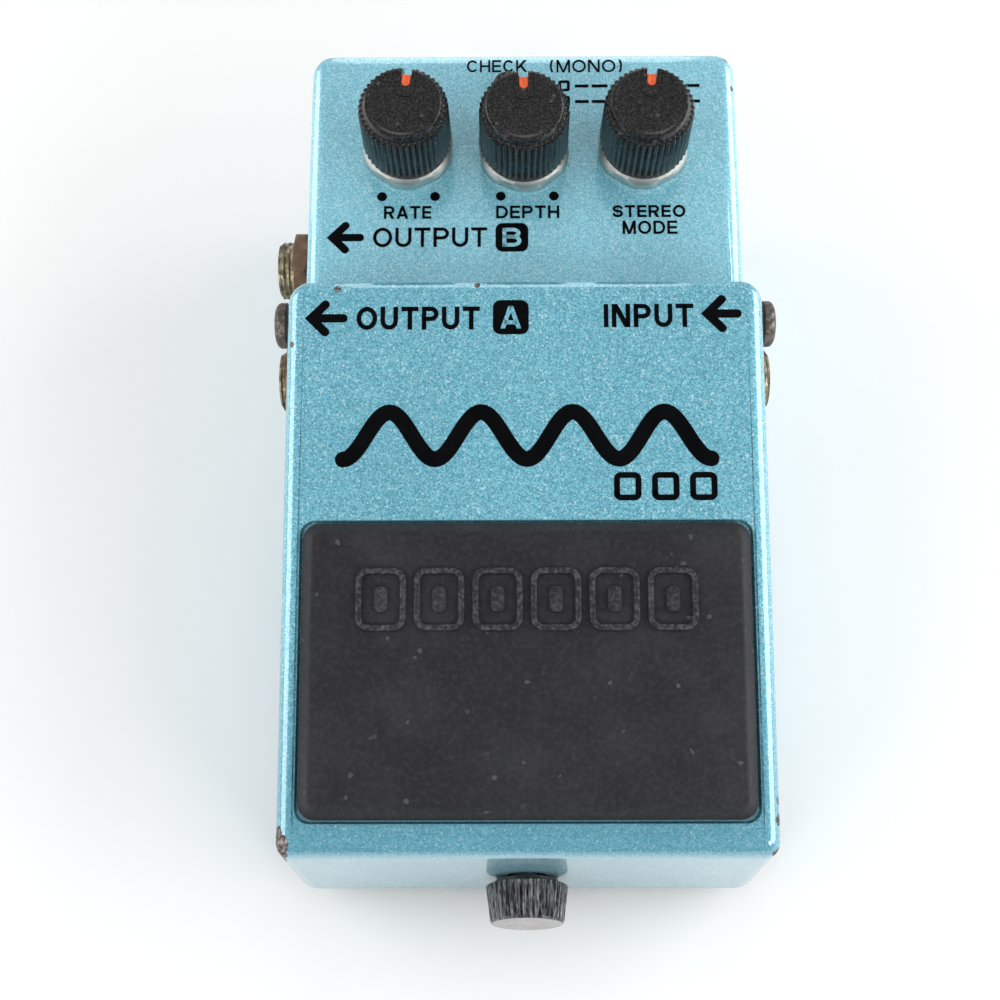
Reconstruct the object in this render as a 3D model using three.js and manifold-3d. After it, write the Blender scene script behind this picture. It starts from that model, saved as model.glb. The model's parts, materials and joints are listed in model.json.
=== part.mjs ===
// A compact guitar effects pedal: a die-cast case with a sloping control panel, and a hinged
// treadle that presses a footswitch. Millimetres, +Z up, +X to the player's right, +Y away from
// the player. The origin is on the surface that the pedal stands on, midway along its depth.
import * as THREE from "three";
import { mergeVertices } from "three/addons/utils/BufferGeometryUtils.js";
import Module from "manifold-3d";

const wasm = await Module();
wasm.setup();

// ---------- driving dimensions ----------
const GAP = 0.3; // kept between pieces that touch
const DEPTH = 129; // rear wall to the front of the thumbscrew
const REAR = DEPTH / 2;

const MAT = { z0: 0, z1: 1.1 };
const PLATE = { z0: MAT.z1 + GAP, z1: 2.3 };

const CASE = {
  halfWidth: 33.5,
  boxHalfWidth: 31.6, // the part under the treadle's skirts
  front: -53.7,
  bottom: PLATE.z1 + GAP,
  wall: 2.5,
  boxWall: 2.2,
  cornerRadius: 3.3,
  deckRear: 22.7, // where the control panel begins
  bayFront: -15.4, // the electronics bay's front wall
  ceiling: 2.3,
};

const PANEL = { slope: THREE.MathUtils.degToRad(11.3), rearHeight: 47.9 };

const TREADLE = {
  halfWidth: 34.75,
  front: -58.1,
  rear: 21.5,
  frontHeight: 26.74,
  skirtBottom: 3.65,
  slope: THREE.MathUtils.degToRad(15.25),
  wall: 2.4,
  plate: 3.0,
  rearCorner: 3.3,
  frontCorner: 2.2,
  lipBottom: 40.6,
  lipHalfWidth: 24.2,
};
const RECESS = { halfWidth: 32.0, front: 4.3, rear: 46.3, depth: 1.0 }; // along the treadle's slope
const PAD = { halfWidth: 31.6, front: 4.75, rear: 45.9, rise: 1.6, bevel: 1.3, corner: 2.4 };

const PIVOT = { y: 18.3, z: 40, lugRadius: 3.9, lugInner: 25.2, swingRadius: 6.9 };
const HINGE = {
  pinRadius: 2,
  boreRadius: 2.3,
  sleeveRadius: 2.7,
  flangeRadius: 3.3,
  headRadius: 3.42,
  headInner: 35.7,
  headOuter: 36.9,
  crownRadius: 2.7,
  crownOuter: 37.3,
};
const DECK_DROP = 6.5; // the case's deck lies this far under the treadle's top
const JACK = { z: 25, frontY: 17.3, rearY: 38.3, collarRadius: 4.7, boreRadius: 3.3 };
const SPRING = { y: -8, radius: 4.8, wire: 0.65, wellRadius: 6, wellDepth: 8, seatZ: 36 };
const PLUNGER = { y: 5, radius: 2.6, top: 38.7 };
const SCREW = { z: 10.9, headRear: -59.1, rearRadius: 5.97, frontRadius: 5.26 };
const BAY = { front: -51.5, rear: -17.4, floor: 4.4 };
const LED = { x: -2.4, setback: 7, lensRadius: 1.5, holderRadius: 2, bezelRadius: 2.3, top: 2.2 };
const BOARD = { halfWidth: 28, front: -13.5, rear: 54, bottom: 8, top: 9.6 };
const POWER = { z: 28, noseRadius: 5.5, boreRadius: 3.3, rear: REAR - 0.4 };
const BATTERY = { x0: -25.5, x1: 19, y0: -46.6, y1: -20.1, tall: 17.5, studSpacing: 13 };

const tanPanel = Math.tan(PANEL.slope);
const tanTreadle = Math.tan(TREADLE.slope);
const panelZ = (y) => PANEL.rearHeight - (REAR - y) * tanPanel;
const treadleZ = (y) => TREADLE.frontHeight + (y - TREADLE.front) * tanTreadle;
const deckZ = (y) => treadleZ(y) - DECK_DROP;
const treadleUnderZ = (y) => treadleZ(y) - TREADLE.plate / Math.cos(TREADLE.slope);

// ---------- materials ----------
const paint = (color, roughness, metalness = 0) =>
  new THREE.MeshStandardMaterial({ color, roughness, metalness });
const MATERIAL = {
  bluePaint: paint(0x62b5cc, 0.4, 0.3),
  rubber: paint(0x262628, 0.85),
  blackPlastic: paint(0x1b1b1d, 0.45),
  blackNylon: paint(0x101112, 0.6),
  whiteNylon: paint(0xc0bdb2, 0.5),
  steel: paint(0x9aa0a2, 0.35, 1),
  nickel: paint(0xb9b7b0, 0.3, 1),
  oldBrass: paint(0x6d6046, 0.5, 1),
  oldSteel: paint(0x6e5f54, 0.55, 1),
  springSteel: paint(0xa9abad, 0.3, 1),
  orangePaint: paint(0xe4582c, 0.5),
  redLens: paint(0x9b1512, 0.15),
  board: paint(0x7c8a45, 0.6),
  foam: paint(0x4a4c4e, 0.95),
  batteryCan: paint(0x2d3238, 0.35, 0.4),
  redWire: paint(0xb3261e, 0.5),
  blackWire: paint(0x151515, 0.5),
};

// ---------- solids ----------
// Merges a geometry's vertices, so that its surface is closed, and makes a solid of it.
function solid(geometry, matrix = new THREE.Matrix4()) {
  const bare = geometry.clone().applyMatrix4(matrix);
  bare.deleteAttribute("normal");
  bare.deleteAttribute("uv");
  const merged = mergeVertices(bare, 1e-4);
  return new wasm.Manifold(
    new wasm.Mesh({
      numProp: 3,
      vertProperties: merged.attributes.position.array,
      triVerts: new Uint32Array(merged.index.array),
    }),
  );
}

// Turns a solid back into a geometry.
function geometryOf(made) {
  const mesh = made.getMesh();
  const positions = new Float32Array(mesh.numVert * 3);
  for (let i = 0; i < mesh.numVert; i++) {
    const first = i * mesh.numProp;
    positions.set(mesh.vertProperties.subarray(first, first + 3), i * 3);
  }
  const geometry = new THREE.BufferGeometry();
  geometry.setAttribute("position", new THREE.BufferAttribute(positions, 3));
  geometry.setIndex(new THREE.BufferAttribute(mesh.triVerts, 1));
  geometry.computeVertexNormals();
  return geometry;
}

const join = (first, ...rest) => rest.reduce((sum, next) => sum.add(next), first);
const cut = (first, ...rest) => rest.reduce((left, next) => left.subtract(next), first);

const polygon = (points) => new THREE.Shape(points.map(([a, b]) => new THREE.Vector2(a, b)));

// A rectangle with round corners, as a Shape. Radii run from the low corner, anticlockwise.
function roundedRectangle(x0, y0, x1, y1, radii) {
  const [a, b, c, d] = Array.isArray(radii) ? radii : [radii, radii, radii, radii];
  const shape = new THREE.Shape();
  shape.moveTo(x0 + a, y0);
  shape.lineTo(x1 - b, y0);
  shape.absarc(x1 - b, y0 + b, b, -Math.PI / 2, 0);
  shape.lineTo(x1, y1 - c);
  shape.absarc(x1 - c, y1 - c, c, 0, Math.PI / 2);
  shape.lineTo(x0 + d, y1);
  shape.absarc(x0 + d, y1 - d, d, Math.PI / 2, Math.PI);
  shape.lineTo(x0, y0 + a);
  shape.absarc(x0 + a, y0 + a, a, Math.PI, Math.PI * 1.5);
  return shape;
}

// Where a shape's own x, y and depth point, for a prism along each axis.
const AXES = {
  x: new THREE.Matrix4().makeBasis(
    new THREE.Vector3(0, 1, 0),
    new THREE.Vector3(0, 0, 1),
    new THREE.Vector3(1, 0, 0),
  ),
  y: new THREE.Matrix4().makeBasis(
    new THREE.Vector3(-1, 0, 0),
    new THREE.Vector3(0, 0, 1),
    new THREE.Vector3(0, 1, 0),
  ),
  z: new THREE.Matrix4(),
};

// A shape pushed along an axis from one coordinate to another.
function prism(shape, axis, from, to, curveSegments = 5) {
  const geometry = new THREE.ExtrudeGeometry(shape, {
    depth: to - from,
    bevelEnabled: false,
    curveSegments,
  });
  geometry.translate(0, 0, from);
  return solid(geometry, AXES[axis]);
}

const box = (x0, x1, y0, y1, z0, z1) =>
  prism(polygon([[x0, y0], [x1, y0], [x1, y1], [x0, y1]]), "z", z0, z1);

// A round bar along an axis, whose other two coordinates are centre.
function bar(axis, centre, radius, from, to, sides = 24) {
  const [a, b] = centre;
  const points = [];
  for (let i = 0; i < sides; i++) {
    const turn = ((i + 0.5) / sides) * Math.PI * 2;
    const across = axis === "y" ? -a : a;
    points.push([across + radius * Math.cos(turn), b + radius * Math.sin(turn)]);
  }
  return prism(polygon(points), axis, from, to);
}

// A regular hexagon across its flats, as a Shape. A corner is lowest before its rotation.
function hexagon(acrossFlats, a = 0, b = 0, rotation = 0) {
  const corner = acrossFlats / 2 / Math.cos(Math.PI / 6);
  const points = [];
  for (let i = 0; i < 6; i++) {
    const turn = (i / 6) * Math.PI * 2 - Math.PI / 2 + rotation;
    points.push([a + corner * Math.cos(turn), b + corner * Math.sin(turn)]);
  }
  return polygon(points);
}

// A turned piece about Z: the profile's points are [radius, height], from the axis and back to it.
function turned(profile, segments = 32) {
  const points = profile.map(([r, h]) => new THREE.Vector2(r, h));
  return solid(new THREE.LatheGeometry(points, segments), TURN_UP);
}
const TURN_UP = new THREE.Matrix4().makeRotationX(Math.PI / 2);

// A ring of flutes: a bar whose radius steps between crest and root. It tapers from r0 to r1.
function flutedBar(count, r0, r1, depth, h0, h1) {
  const points = [];
  for (let i = 0; i < count * 2; i++) {
    const turn = (i / (count * 2)) * Math.PI * 2;
    const radius = i % 2 ? r0 : r0 - depth;
    points.push([radius * Math.cos(turn), radius * Math.sin(turn)]);
  }
  const geometry = new THREE.ExtrudeGeometry(polygon(points), { depth: h1 - h0, bevelEnabled: false });
  const position = geometry.getAttribute("position");
  for (let i = 0; i < position.count; i++) {
    if (position.getZ(i) < (h1 - h0) / 2) continue;
    position.setX(i, (position.getX(i) * r1) / r0);
    position.setY(i, (position.getY(i) * r1) / r0);
  }
  geometry.translate(0, 0, h0);
  return solid(geometry);
}

// ---------- scene graph ----------
const pedal = new THREE.Group();

function piece(name, made, material, parent = pedal) {
  const mesh = new THREE.Mesh(geometryOf(made), material);
  mesh.name = name;
  parent.add(mesh);
  return mesh;
}

// A group whose own Z stands square to the control panel, at a point on the panel's surface.
function onPanel(x, setback) {
  const group = new THREE.Group();
  group.position.set(x, REAR - setback, panelZ(REAR - setback));
  group.rotation.x = PANEL.slope;
  group.updateMatrix();
  pedal.add(group);
  return group;
}

// A group whose Y runs up the treadle's slope from its front edge, and Z stands square to it.
function onTreadle() {
  const group = new THREE.Group();
  group.position.set(0, TREADLE.front, TREADLE.frontHeight);
  group.rotation.x = TREADLE.slope;
  group.updateMatrix();
  pedal.add(group);
  return group;
}

// A setback is measured level, from the rear wall. The turns, in radians, are anticlockwise from
// above, and a knob's is where its pointer rests.
const CONTROLS = [
  { name: "rate", x: -17.95, setback: 16.6, nutTurn: -0.08, knobTurn: -0.122 },
  { name: "depth", x: 0, setback: 17.1, nutTurn: 0.14, knobTurn: 0.026 },
  { name: "mode", x: 18.5, setback: 16.7, nutTurn: -0.03, knobTurn: -0.078 },
];
const JACKS = [
  { name: "output_a", side: -1, y: JACK.frontY, tip: 38.3, inner: 29.4, nutTurn: 0.5 },
  { name: "output_b", side: -1, y: JACK.rearY, tip: 39.8, inner: 31, nutTurn: 0.6 },
  { name: "input", side: 1, y: JACK.frontY, tip: 38.3, inner: 29.4, nutTurn: 0.45 },
];
const BUSH = { radius: 4.5, top: 3.4 };
const SHAFT_RADIUS = 3;
const FRONT_SCREW_X = 28.6;
const REAR_SCREW_X = 28;
const BASE_SCREWS = [
  [-FRONT_SCREW_X, -50.2],
  [FRONT_SCREW_X, -50.2],
  [-REAR_SCREW_X, 58.6],
  [REAR_SCREW_X, 58.6],
];

// ---------- case ----------
function caseShell() {
  const { halfWidth, boxHalfWidth, front, bottom, wall, boxWall, cornerRadius } = CASE;
  const { deckRear, bayFront, ceiling } = CASE;

  // The wide rear block, with cheeks that run forward under the treadle's slanting skirts.
  const cheekTop = 33;
  const blockProfile = polygon([
    [-3.9, bottom],
    [REAR, bottom],
    [REAR, PANEL.rearHeight],
    [deckRear, panelZ(deckRear)],
    [deckRear, cheekTop],
    [10.6, cheekTop],
  ]);
  const square = 0.01;
  const corners = [square, square, cornerRadius, cornerRadius];
  const blockPlan = roundedRectangle(-halfWidth, -10, halfWidth, REAR, corners);
  const block = prism(blockProfile, "x", -halfWidth, halfWidth).intersect(
    prism(blockPlan, "z", 0, 60, 6),
  );

  // The narrower box under the treadle.
  const boxProfile = polygon([
    [front, bottom],
    [deckRear, bottom],
    [deckRear, panelZ(deckRear)],
    [13, deckZ(13)],
    [front, deckZ(front)],
  ]);
  const frontBox = prism(boxProfile, "x", -boxHalfWidth, boxHalfWidth);

  // The trough that the treadle's rear lip swings down into, and the lugs for the hinge pins.
  const pivot = [PIVOT.y, PIVOT.z];
  const trough = bar("x", pivot, PIVOT.swingRadius, -halfWidth - 1, halfWidth + 1, 40);
  const lug = (side) => {
    const inner = PIVOT.lugInner * side;
    const outer = boxHalfWidth * side;
    const [x0, x1] = [Math.min(inner, outer), Math.max(inner, outer)];
    const web = box(x0, x1, PIVOT.y - PIVOT.lugRadius, PIVOT.y + PIVOT.lugRadius, 32, PIVOT.z);
    return join(bar("x", pivot, PIVOT.lugRadius, x0, x1, 28), web);
  };
  const pinHole = (side) => {
    const [x0, x1] = side > 0 ? [26.5, 35] : [-35, -26.5];
    return bar("x", pivot, HINGE.boreRadius, x0, x1, 20);
  };

  // The electronics bay, open below, with the spring's cup hanging into it.
  const panelUnderZ = (y) => panelZ(y) - wall - 0.1;
  const bayProfile = polygon([
    [bayFront, 0],
    [REAR - wall, 0],
    [REAR - wall, panelUnderZ(REAR - wall)],
    [24, panelUnderZ(24)],
    [12, deckZ(12) - ceiling],
    [bayFront, deckZ(bayFront) - ceiling],
  ]);
  const roof = bar("x", pivot, PIVOT.swingRadius + 1.6, -halfWidth, halfWidth, 40);
  const narrowBay = prism(bayProfile, "x", -boxHalfWidth + boxWall, boxHalfWidth - boxWall);
  const wideBay = prism(bayProfile, "x", -halfWidth + wall, halfWidth - wall).intersect(
    box(-halfWidth, halfWidth, 26, REAR, 0, 60),
  );
  const cupFloor = deckZ(SPRING.y) - SPRING.wellDepth;
  const cup = bar("z", [0, SPRING.y], SPRING.wellRadius + 1.8, cupFloor - 1.6, 50, 28);
  const boss = (x, half, y0, y1, top) => box(x - half, x + half, y0, y1, 0, top);
  const rearBosses = [-1, 1].map((side) => boss(side * REAR_SCREW_X, 3, 55.8, REAR, 30));
  const bay = cut(join(narrowBay, wideBay), roof, cup, ...rearBosses);
  const well = bar("z", [0, SPRING.y], SPRING.wellRadius, cupFloor, 60, 28);

  // The battery's bay, open above, with a block in each front corner for a base screw.
  const bayHalf = boxHalfWidth - boxWall;
  const frontBosses = [-1, 1].map((side) =>
    boss(side * FRONT_SCREW_X, 2.8, BAY.front - 1, -47.6, 16),
  );
  const batteryBay = cut(
    box(-bayHalf, bayHalf, BAY.front, BAY.rear, BAY.floor, 60),
    ...frontBosses,
  );
  const leadHole = bar("y", [22, 24.5], 2.4, BAY.rear - 1, -14, 16);

  // Holes for what the case carries.
  const screwHoles = BASE_SCREWS.map(([x, y]) => bar("z", [x, y], 1.6, 0, 12, 12));
  const bushHole = bar("y", [0, SCREW.z], 4.3, front - 1, BAY.front + 1, 24);
  const plungerHole = bar("z", [0, PLUNGER.y], PLUNGER.radius + 0.4, 30, 50, 20);
  const jackHoles = JACKS.map(({ side, y }) => {
    const [x0, x1] = side > 0 ? [26, 45] : [-45, -26];
    return bar("x", [y, JACK.z], JACK.collarRadius + GAP, x0, x1, 28);
  });
  const powerHole = bar("y", [0, POWER.z], POWER.noseRadius + 0.4, REAR - wall - 1, REAR + 1, 28);
  const panelHoles = CONTROLS.map(({ x, setback }) => {
    const hole = bar("z", [0, 0], BUSH.radius + GAP, -5, 2, 24);
    return hole.transform(onPanel(x, setback).matrix.elements);
  });
  const ledPlace = onPanel(LED.x, LED.setback).matrix.elements;
  const ledHole = bar("z", [0, 0], LED.holderRadius + 0.25, -5, 2, 20).transform(ledPlace);

  const shell = join(cut(join(block, frontBox), trough), lug(-1), lug(1));
  return cut(
    shell,
    bay,
    well,
    batteryBay,
    leadHole,
    bushHole,
    plungerHole,
    powerHole,
    ledHole,
    pinHole(-1),
    pinHole(1),
    ...screwHoles,
    ...jackHoles,
    ...panelHoles,
  );
}

// The footprint under the case, drawn in by an amount: narrow between the skirts, wide behind them.
function footprint(inset) {
  const front = CASE.front + 0.3 + inset;
  const rear = REAR - 0.4 - inset;
  const narrow = CASE.boxHalfWidth - 0.3 - inset;
  const wide = CASE.halfWidth - 0.3 - inset;
  const step = -3 + inset;
  return polygon([
    [-narrow, front],
    [narrow, front],
    [narrow, step],
    [wide, step],
    [wide, rear - 2.5],
    [wide - 2.5, rear],
    [-wide + 2.5, rear],
    [-wide, rear - 2.5],
    [-wide, step],
    [-narrow, step],
  ]);
}

function base() {
  const plateHoles = BASE_SCREWS.map(([x, y]) => bar("z", [x, y], 1.7, 0, 4, 12));
  piece("bottom_plate", cut(prism(footprint(0), "z", PLATE.z0, PLATE.z1), ...plateHoles), MATERIAL.steel);
  const matHoles = BASE_SCREWS.map(([x, y]) => bar("z", [x, y], 3.6, -1, 2, 20));
  piece("base_mat", cut(prism(footprint(1.2), "z", MAT.z0, MAT.z1), ...matHoles), MATERIAL.rubber);
  BASE_SCREWS.forEach(([x, y], i) => {
    const head = bar("z", [x, y], 3, 0.2, 1.1, 20);
    const slot = box(x - 3, x + 3, y - 0.4, y + 0.4, 0, 0.7);
    const crossSlot = box(x - 0.4, x + 0.4, y - 1.8, y + 1.8, 0, 0.7);
    const shank = bar("z", [x, y], 1.3, 1, 11.4, 12);
    piece(`base_screw_${i + 1}`, cut(join(head, shank), slot.intersect(head), crossSlot), MATERIAL.steel);
  });
}

// ---------- electronics ----------
function circuitBoard() {
  const { halfWidth, front, rear, bottom, top } = BOARD;
  const board = box(-halfWidth, halfWidth, front, rear, bottom, top);
  const foot = top - 0.1; // components stand a little way into the board
  const chips = [
    [-16, -4],
    [-4, 24],
    [12, -6],
  ].map(([x, y]) => box(x - 5, x + 5, y - 3.2, y + 3.2, foot, 13));
  const capacitors = [
    [0, 38],
    [8, 50],
    [-8, 50],
    [20, 34],
    [3, 10],
  ].map(([x, y]) => bar("z", [x, y], 2.5, foot, 17, 12));
  const trimmers = [
    [-20, 4],
    [18, 46],
  ].map(([x, y]) => box(x - 3, x + 3, y - 3, y + 3, foot, 14));
  const made = join(board, ...chips, ...capacitors, ...trimmers);
  piece("circuit_board", made, MATERIAL.board);
  piece("board_foam", box(-12, 12, -8, 40, PLATE.z1 + GAP, bottom - GAP), MATERIAL.foam);
}

function footswitch() {
  const bodyTop = 33.4;
  const body = join(
    box(-6, 6, PLUNGER.y - 3.4, PLUNGER.y + 5, bodyTop - 6.5, bodyTop - 1.2),
    box(-9.5, 9.5, PLUNGER.y - 3.4, PLUNGER.y + 4, bodyTop - 8.2, bodyTop - 6.4),
  );
  const hole = bar("z", [0, PLUNGER.y], 1.9, bodyTop - 4, 50, 16);
  piece("footswitch_body", cut(body, hole), MATERIAL.blackPlastic);
  const stem = bar("z", [0, PLUNGER.y], 1.5, bodyTop - 2.8, PLUNGER.top - 3, 16);
  const cap = bar("z", [0, PLUNGER.y], PLUNGER.radius, PLUNGER.top - 3.2, PLUNGER.top, 20);
  piece("footswitch_plunger", join(stem, cap), MATERIAL.whiteNylon);
}

function battery() {
  const { x0, x1, y0, y1, tall, studSpacing } = BATTERY;
  const z0 = BAY.floor + 1 + 2 * GAP;
  const middle = (y0 + y1) / 2;
  const height = z0 + tall / 2;
  const centres = [-0.5, 0.5].map((share) => [middle + share * studSpacing, height]);
  const studs = (radius, from, to) => centres.map((at) => bar("x", at, radius, from, to, 16));
  piece(
    "battery_foam",
    box(x0 + 1.5, x1 + 1, y0 + 1, y1 - 1, BAY.floor + GAP, z0 - GAP),
    MATERIAL.foam,
  );
  const can = prism(roundedRectangle(y0, z0, y1, z0 + tall, 1.6), "x", x0, x1, 4);
  piece("battery", join(can, ...studs(2.8, x1 - 0.1, x1 + 2)), MATERIAL.batteryCan);
  const snapShape = roundedRectangle(middle - 11, height - 5, middle + 11, height + 5, 3);
  const snap = prism(snapShape, "x", x1 + GAP, x1 + 4, 4);
  piece("battery_snap", cut(snap, ...studs(3.2, x1, x1 + 2.4)), MATERIAL.blackPlastic);

  // The two leads leave the snap's back, rise over the bay's rear wall and drop to the board.
  const red = [
    [23.35, middle + 3.2, height],
    [25.2, middle + 3.6, height + 2],
    [25.6, -27.6, 20.6],
    [23.6, -23.4, 24.6],
    [21.3, -18.6, 25.3],
    [21.1, -15.4, 25.1],
    [20.6, -12, 21],
    [20.2, -10.9, 15],
    [20, -10.8, 9.95],
  ];
  const black = [
    [23.35, middle - 3.2, height],
    [26.6, middle - 2.6, height + 0.6],
    [28.1, -31, 17],
    [27.6, -25.6, 20.6],
    [24.4, -20.4, 23.4],
    [22.8, -16.4, 23.8],
    [23.6, -12.6, 20.4],
    [24.1, -11, 15],
    [24.2, -10.8, 9.95],
  ];
  piece("battery_lead_red", lead(red), MATERIAL.redWire);
  piece("battery_lead_black", lead(black), MATERIAL.blackWire);
}

// A wire along points.
function lead(points) {
  const radius = 0.55;
  const section = new THREE.Shape();
  section.absarc(0, 0, radius, 0, Math.PI * 2);
  const path = new THREE.CatmullRomCurve3(points.map((p) => new THREE.Vector3(...p)));
  const settings = { steps: 22, extrudePath: path, curveSegments: 4 };
  return solid(new THREE.ExtrudeGeometry(section, settings));
}

function jacks() {
  const wall = CASE.halfWidth;
  for (const { name, side, y, tip, inner, nutTurn } of JACKS) {
    const face = inner - GAP;
    const span = (near, far) => (side > 0 ? [near, far] : [-far, -near]);
    const centre = [y, JACK.z];
    const housing = prism(
      roundedRectangle(y - 8.2, JACK.z - 6.2, y + 8.2, JACK.z + 6.2, 0.8),
      "x",
      ...span(10, face),
      2,
    );
    const collar = bar("x", centre, JACK.collarRadius, ...span(face - 1, tip), 28);
    const bore = bar("x", centre, JACK.boreRadius, ...span(13, tip + 1), 24);
    piece(`${name}_jack`, cut(join(housing, collar), bore), MATERIAL.oldBrass);

    const washer = cut(
      bar("x", centre, 7, ...span(wall + GAP, wall + 1.1), 28),
      bar("x", centre, JACK.collarRadius + GAP, ...span(wall, wall + 2), 28),
    );
    piece(`${name}_washer`, washer, MATERIAL.oldSteel);
    const nut = cut(
      prism(hexagon(11.9, y, JACK.z, nutTurn), "x", ...span(wall + 1.4, wall + 3.6)),
      bar("x", centre, JACK.collarRadius + GAP, ...span(wall, wall + 6), 28),
    );
    piece(`${name}_nut`, nut, MATERIAL.oldSteel);
  }
}

function powerSocket() {
  const { z, noseRadius, boreRadius, rear } = POWER;
  const body = box(-7, 7, rear - 14, rear - 2.5, z - 7.5, z + 6);
  const nose = bar("y", [0, z], noseRadius, rear - 3, rear, 28);
  const bore = bar("y", [0, z], boreRadius, rear - 10, rear + 1, 24);
  const pin = bar("y", [0, z], 1.05, rear - 11, rear - 1.5, 12);
  piece("power_socket", join(cut(join(body, nose), bore), pin), MATERIAL.blackPlastic);
}

// ---------- controls ----------
const KNOB = {
  bottom: 2.8,
  shoulder: 12.7,
  top: 14.1,
  bottomRadius: 6.85,
  topRadius: 6.75,
  capRadius: 5.85,
};
const KNOB_BORE_END = 11.3;
// The painted pointer lies in a slot, and outside it a notch runs down the knob's side.
const POINTER = { halfWidth: 0.68, inner: 3.05, outer: 4.85, floor: 12.8, top: 13.6, notchFloor: 8.4 };

function knobSolid() {
  const skirt = flutedBar(40, KNOB.bottomRadius, KNOB.topRadius, 0.35, KNOB.bottom, KNOB.shoulder);
  const cap = turned(
    [
      [0, KNOB.shoulder - 0.5],
      [KNOB.capRadius, KNOB.shoulder - 0.5],
      [KNOB.capRadius, KNOB.top - 0.4],
      [KNOB.capRadius - 0.4, KNOB.top],
      [0, KNOB.top],
    ],
    40,
  );
  const shaftHole = bar("z", [0, 0], SHAFT_RADIUS + GAP, 0, KNOB_BORE_END, 20);
  const bushHole = bar("z", [0, 0], BUSH.radius + GAP, 0, BUSH.top + 0.5, 24);
  const { halfWidth, inner, outer, floor, notchFloor } = POINTER;
  const slotHalf = halfWidth + GAP;
  const slot = box(-slotHalf, slotHalf, inner - GAP, 8, floor - GAP, KNOB.top + 1);
  const notch = box(-slotHalf, slotHalf, outer, 8, notchFloor, KNOB.top);
  return cut(join(skirt, cap), shaftHole, bushHole, slot, notch);
}

function controls() {
  for (const { name, x, setback, nutTurn, knobTurn } of CONTROLS) {
    const group = onPanel(x, setback);
    const potRadius = 7.3;
    const underPanel = -CASE.wall - 0.1 - GAP;
    const can = bar("z", [0, 0], potRadius, underPanel - 6.4, underPanel, 28);
    const bush = bar("z", [0, 0], BUSH.radius, underPanel - 0.5, BUSH.top, 24);
    const bore = bar("z", [0, 0], SHAFT_RADIUS + GAP, underPanel - 4, BUSH.top + 1, 20);
    const potName = name === "mode" ? "mode_switch" : `${name}_pot`;
    piece(potName, cut(join(can, bush), bore), MATERIAL.nickel, group);

    const nutHole = bar("z", [0, 0], BUSH.radius + GAP, 0, 4, 24);
    const nut = cut(prism(hexagon(13.6), "z", GAP, 2.3), nutHole);
    piece(`${name}_nut`, nut, MATERIAL.nickel, group).rotation.z = nutTurn;

    const shaft = bar("z", [0, 0], SHAFT_RADIUS, underPanel - 3.6, KNOB_BORE_END - GAP, 20);
    piece(`${name}_shaft`, shaft, MATERIAL.steel, group);
    piece(`${name}_knob`, knobSolid(), MATERIAL.blackPlastic, group).rotation.z = knobTurn;
    const { halfWidth, inner, outer, floor, top } = POINTER;
    const index = box(-halfWidth, halfWidth, inner, outer, floor, top);
    piece(`${name}_index`, index, MATERIAL.orangePaint, group).rotation.z = knobTurn;
  }
}

function indicator() {
  const { lensRadius, holderRadius, bezelRadius, top } = LED;
  const group = onPanel(LED.x, LED.setback);
  const flange = lensRadius + 0.4;
  const lens = turned(
    [
      [0, -6],
      [flange, -6],
      [flange, -5],
      [lensRadius, -5],
      [lensRadius, top - 1.3],
      [lensRadius - 0.3, top - 0.6],
      [lensRadius - 0.9, top - 0.15],
      [0, top],
    ],
    20,
  );
  piece("check_lamp", lens, MATERIAL.redLens, group);
  const barrel = bar("z", [0, 0], holderRadius, -4.4, 0.5, 24);
  const bezel = bar("z", [0, 0], bezelRadius, GAP, 0.9, 24);
  const bore = bar("z", [0, 0], lensRadius + GAP, -5, 2, 20);
  piece("lamp_holder", cut(join(barrel, bezel), bore), MATERIAL.blackNylon, group);
}

// ---------- treadle ----------
function treadlePlate() {
  const { halfWidth, front, rear, skirtBottom, wall, rearCorner, frontCorner } = TREADLE;
  const earBottom = 34.2;
  const profile = polygon([
    [front, skirtBottom],
    [-6, skirtBottom],
    [9.5, earBottom],
    [rear, earBottom],
    [rear, treadleZ(rear)],
    [front, treadleZ(front)],
  ]);
  const plan = roundedRectangle(-halfWidth, front, halfWidth, rear, [
    frontCorner,
    frontCorner,
    rearCorner,
    rearCorner,
  ]);
  const outer = prism(profile, "x", -halfWidth, halfWidth).intersect(prism(plan, "z", 0, 60, 6));

  const under = polygon([
    [front + wall, -5],
    [rear - wall, -5],
    [rear - wall, treadleUnderZ(rear - wall)],
    [front + wall, treadleUnderZ(front + wall)],
  ]);
  const inside = halfWidth - wall;
  const hollow = prism(under, "x", -inside, inside);
  const lipCut = box(-inside, inside, rear - wall - 1, rear + 1, 0, TREADLE.lipBottom);
  const lugCut = (side) => {
    const near = TREADLE.lipHalfWidth;
    const [x0, x1] = side > 0 ? [near, inside] : [-inside, -near];
    return box(x0, x1, rear - wall - 1, rear + 1, 0, treadleUnderZ(rear - wall));
  };

  const { halfWidth: recessHalf, front: recessFront, rear: recessRear, depth } = RECESS;
  const recess = box(-recessHalf, recessHalf, recessFront, recessRear, -depth, 2).transform(
    onTreadle().matrix.elements,
  );
  const pinHoles = bar("x", [PIVOT.y, PIVOT.z], 3, -40, 40, 24);
  const screwSlot = prism(
    roundedRectangle(-2.9, SCREW.z - 2.9, 2.9, SCREW.z + 5, 2.8),
    "y",
    front - 1,
    front + wall + 1,
    5,
  );

  // The round seat that the coil spring presses on, with a peg inside the coil.
  const seat = bar("z", [0, SPRING.y], 5.6, SPRING.seatZ, treadleUnderZ(SPRING.y) + 1.4, 24);
  const peg = bar("z", [0, SPRING.y], 3, SPRING.seatZ - 2.4, SPRING.seatZ + 1, 20);
  const shell = cut(outer, hollow, lipCut, lugCut(-1), lugCut(1), recess, pinHoles, screwSlot);
  return { shell, springBase: join(seat, peg) };
}

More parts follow.
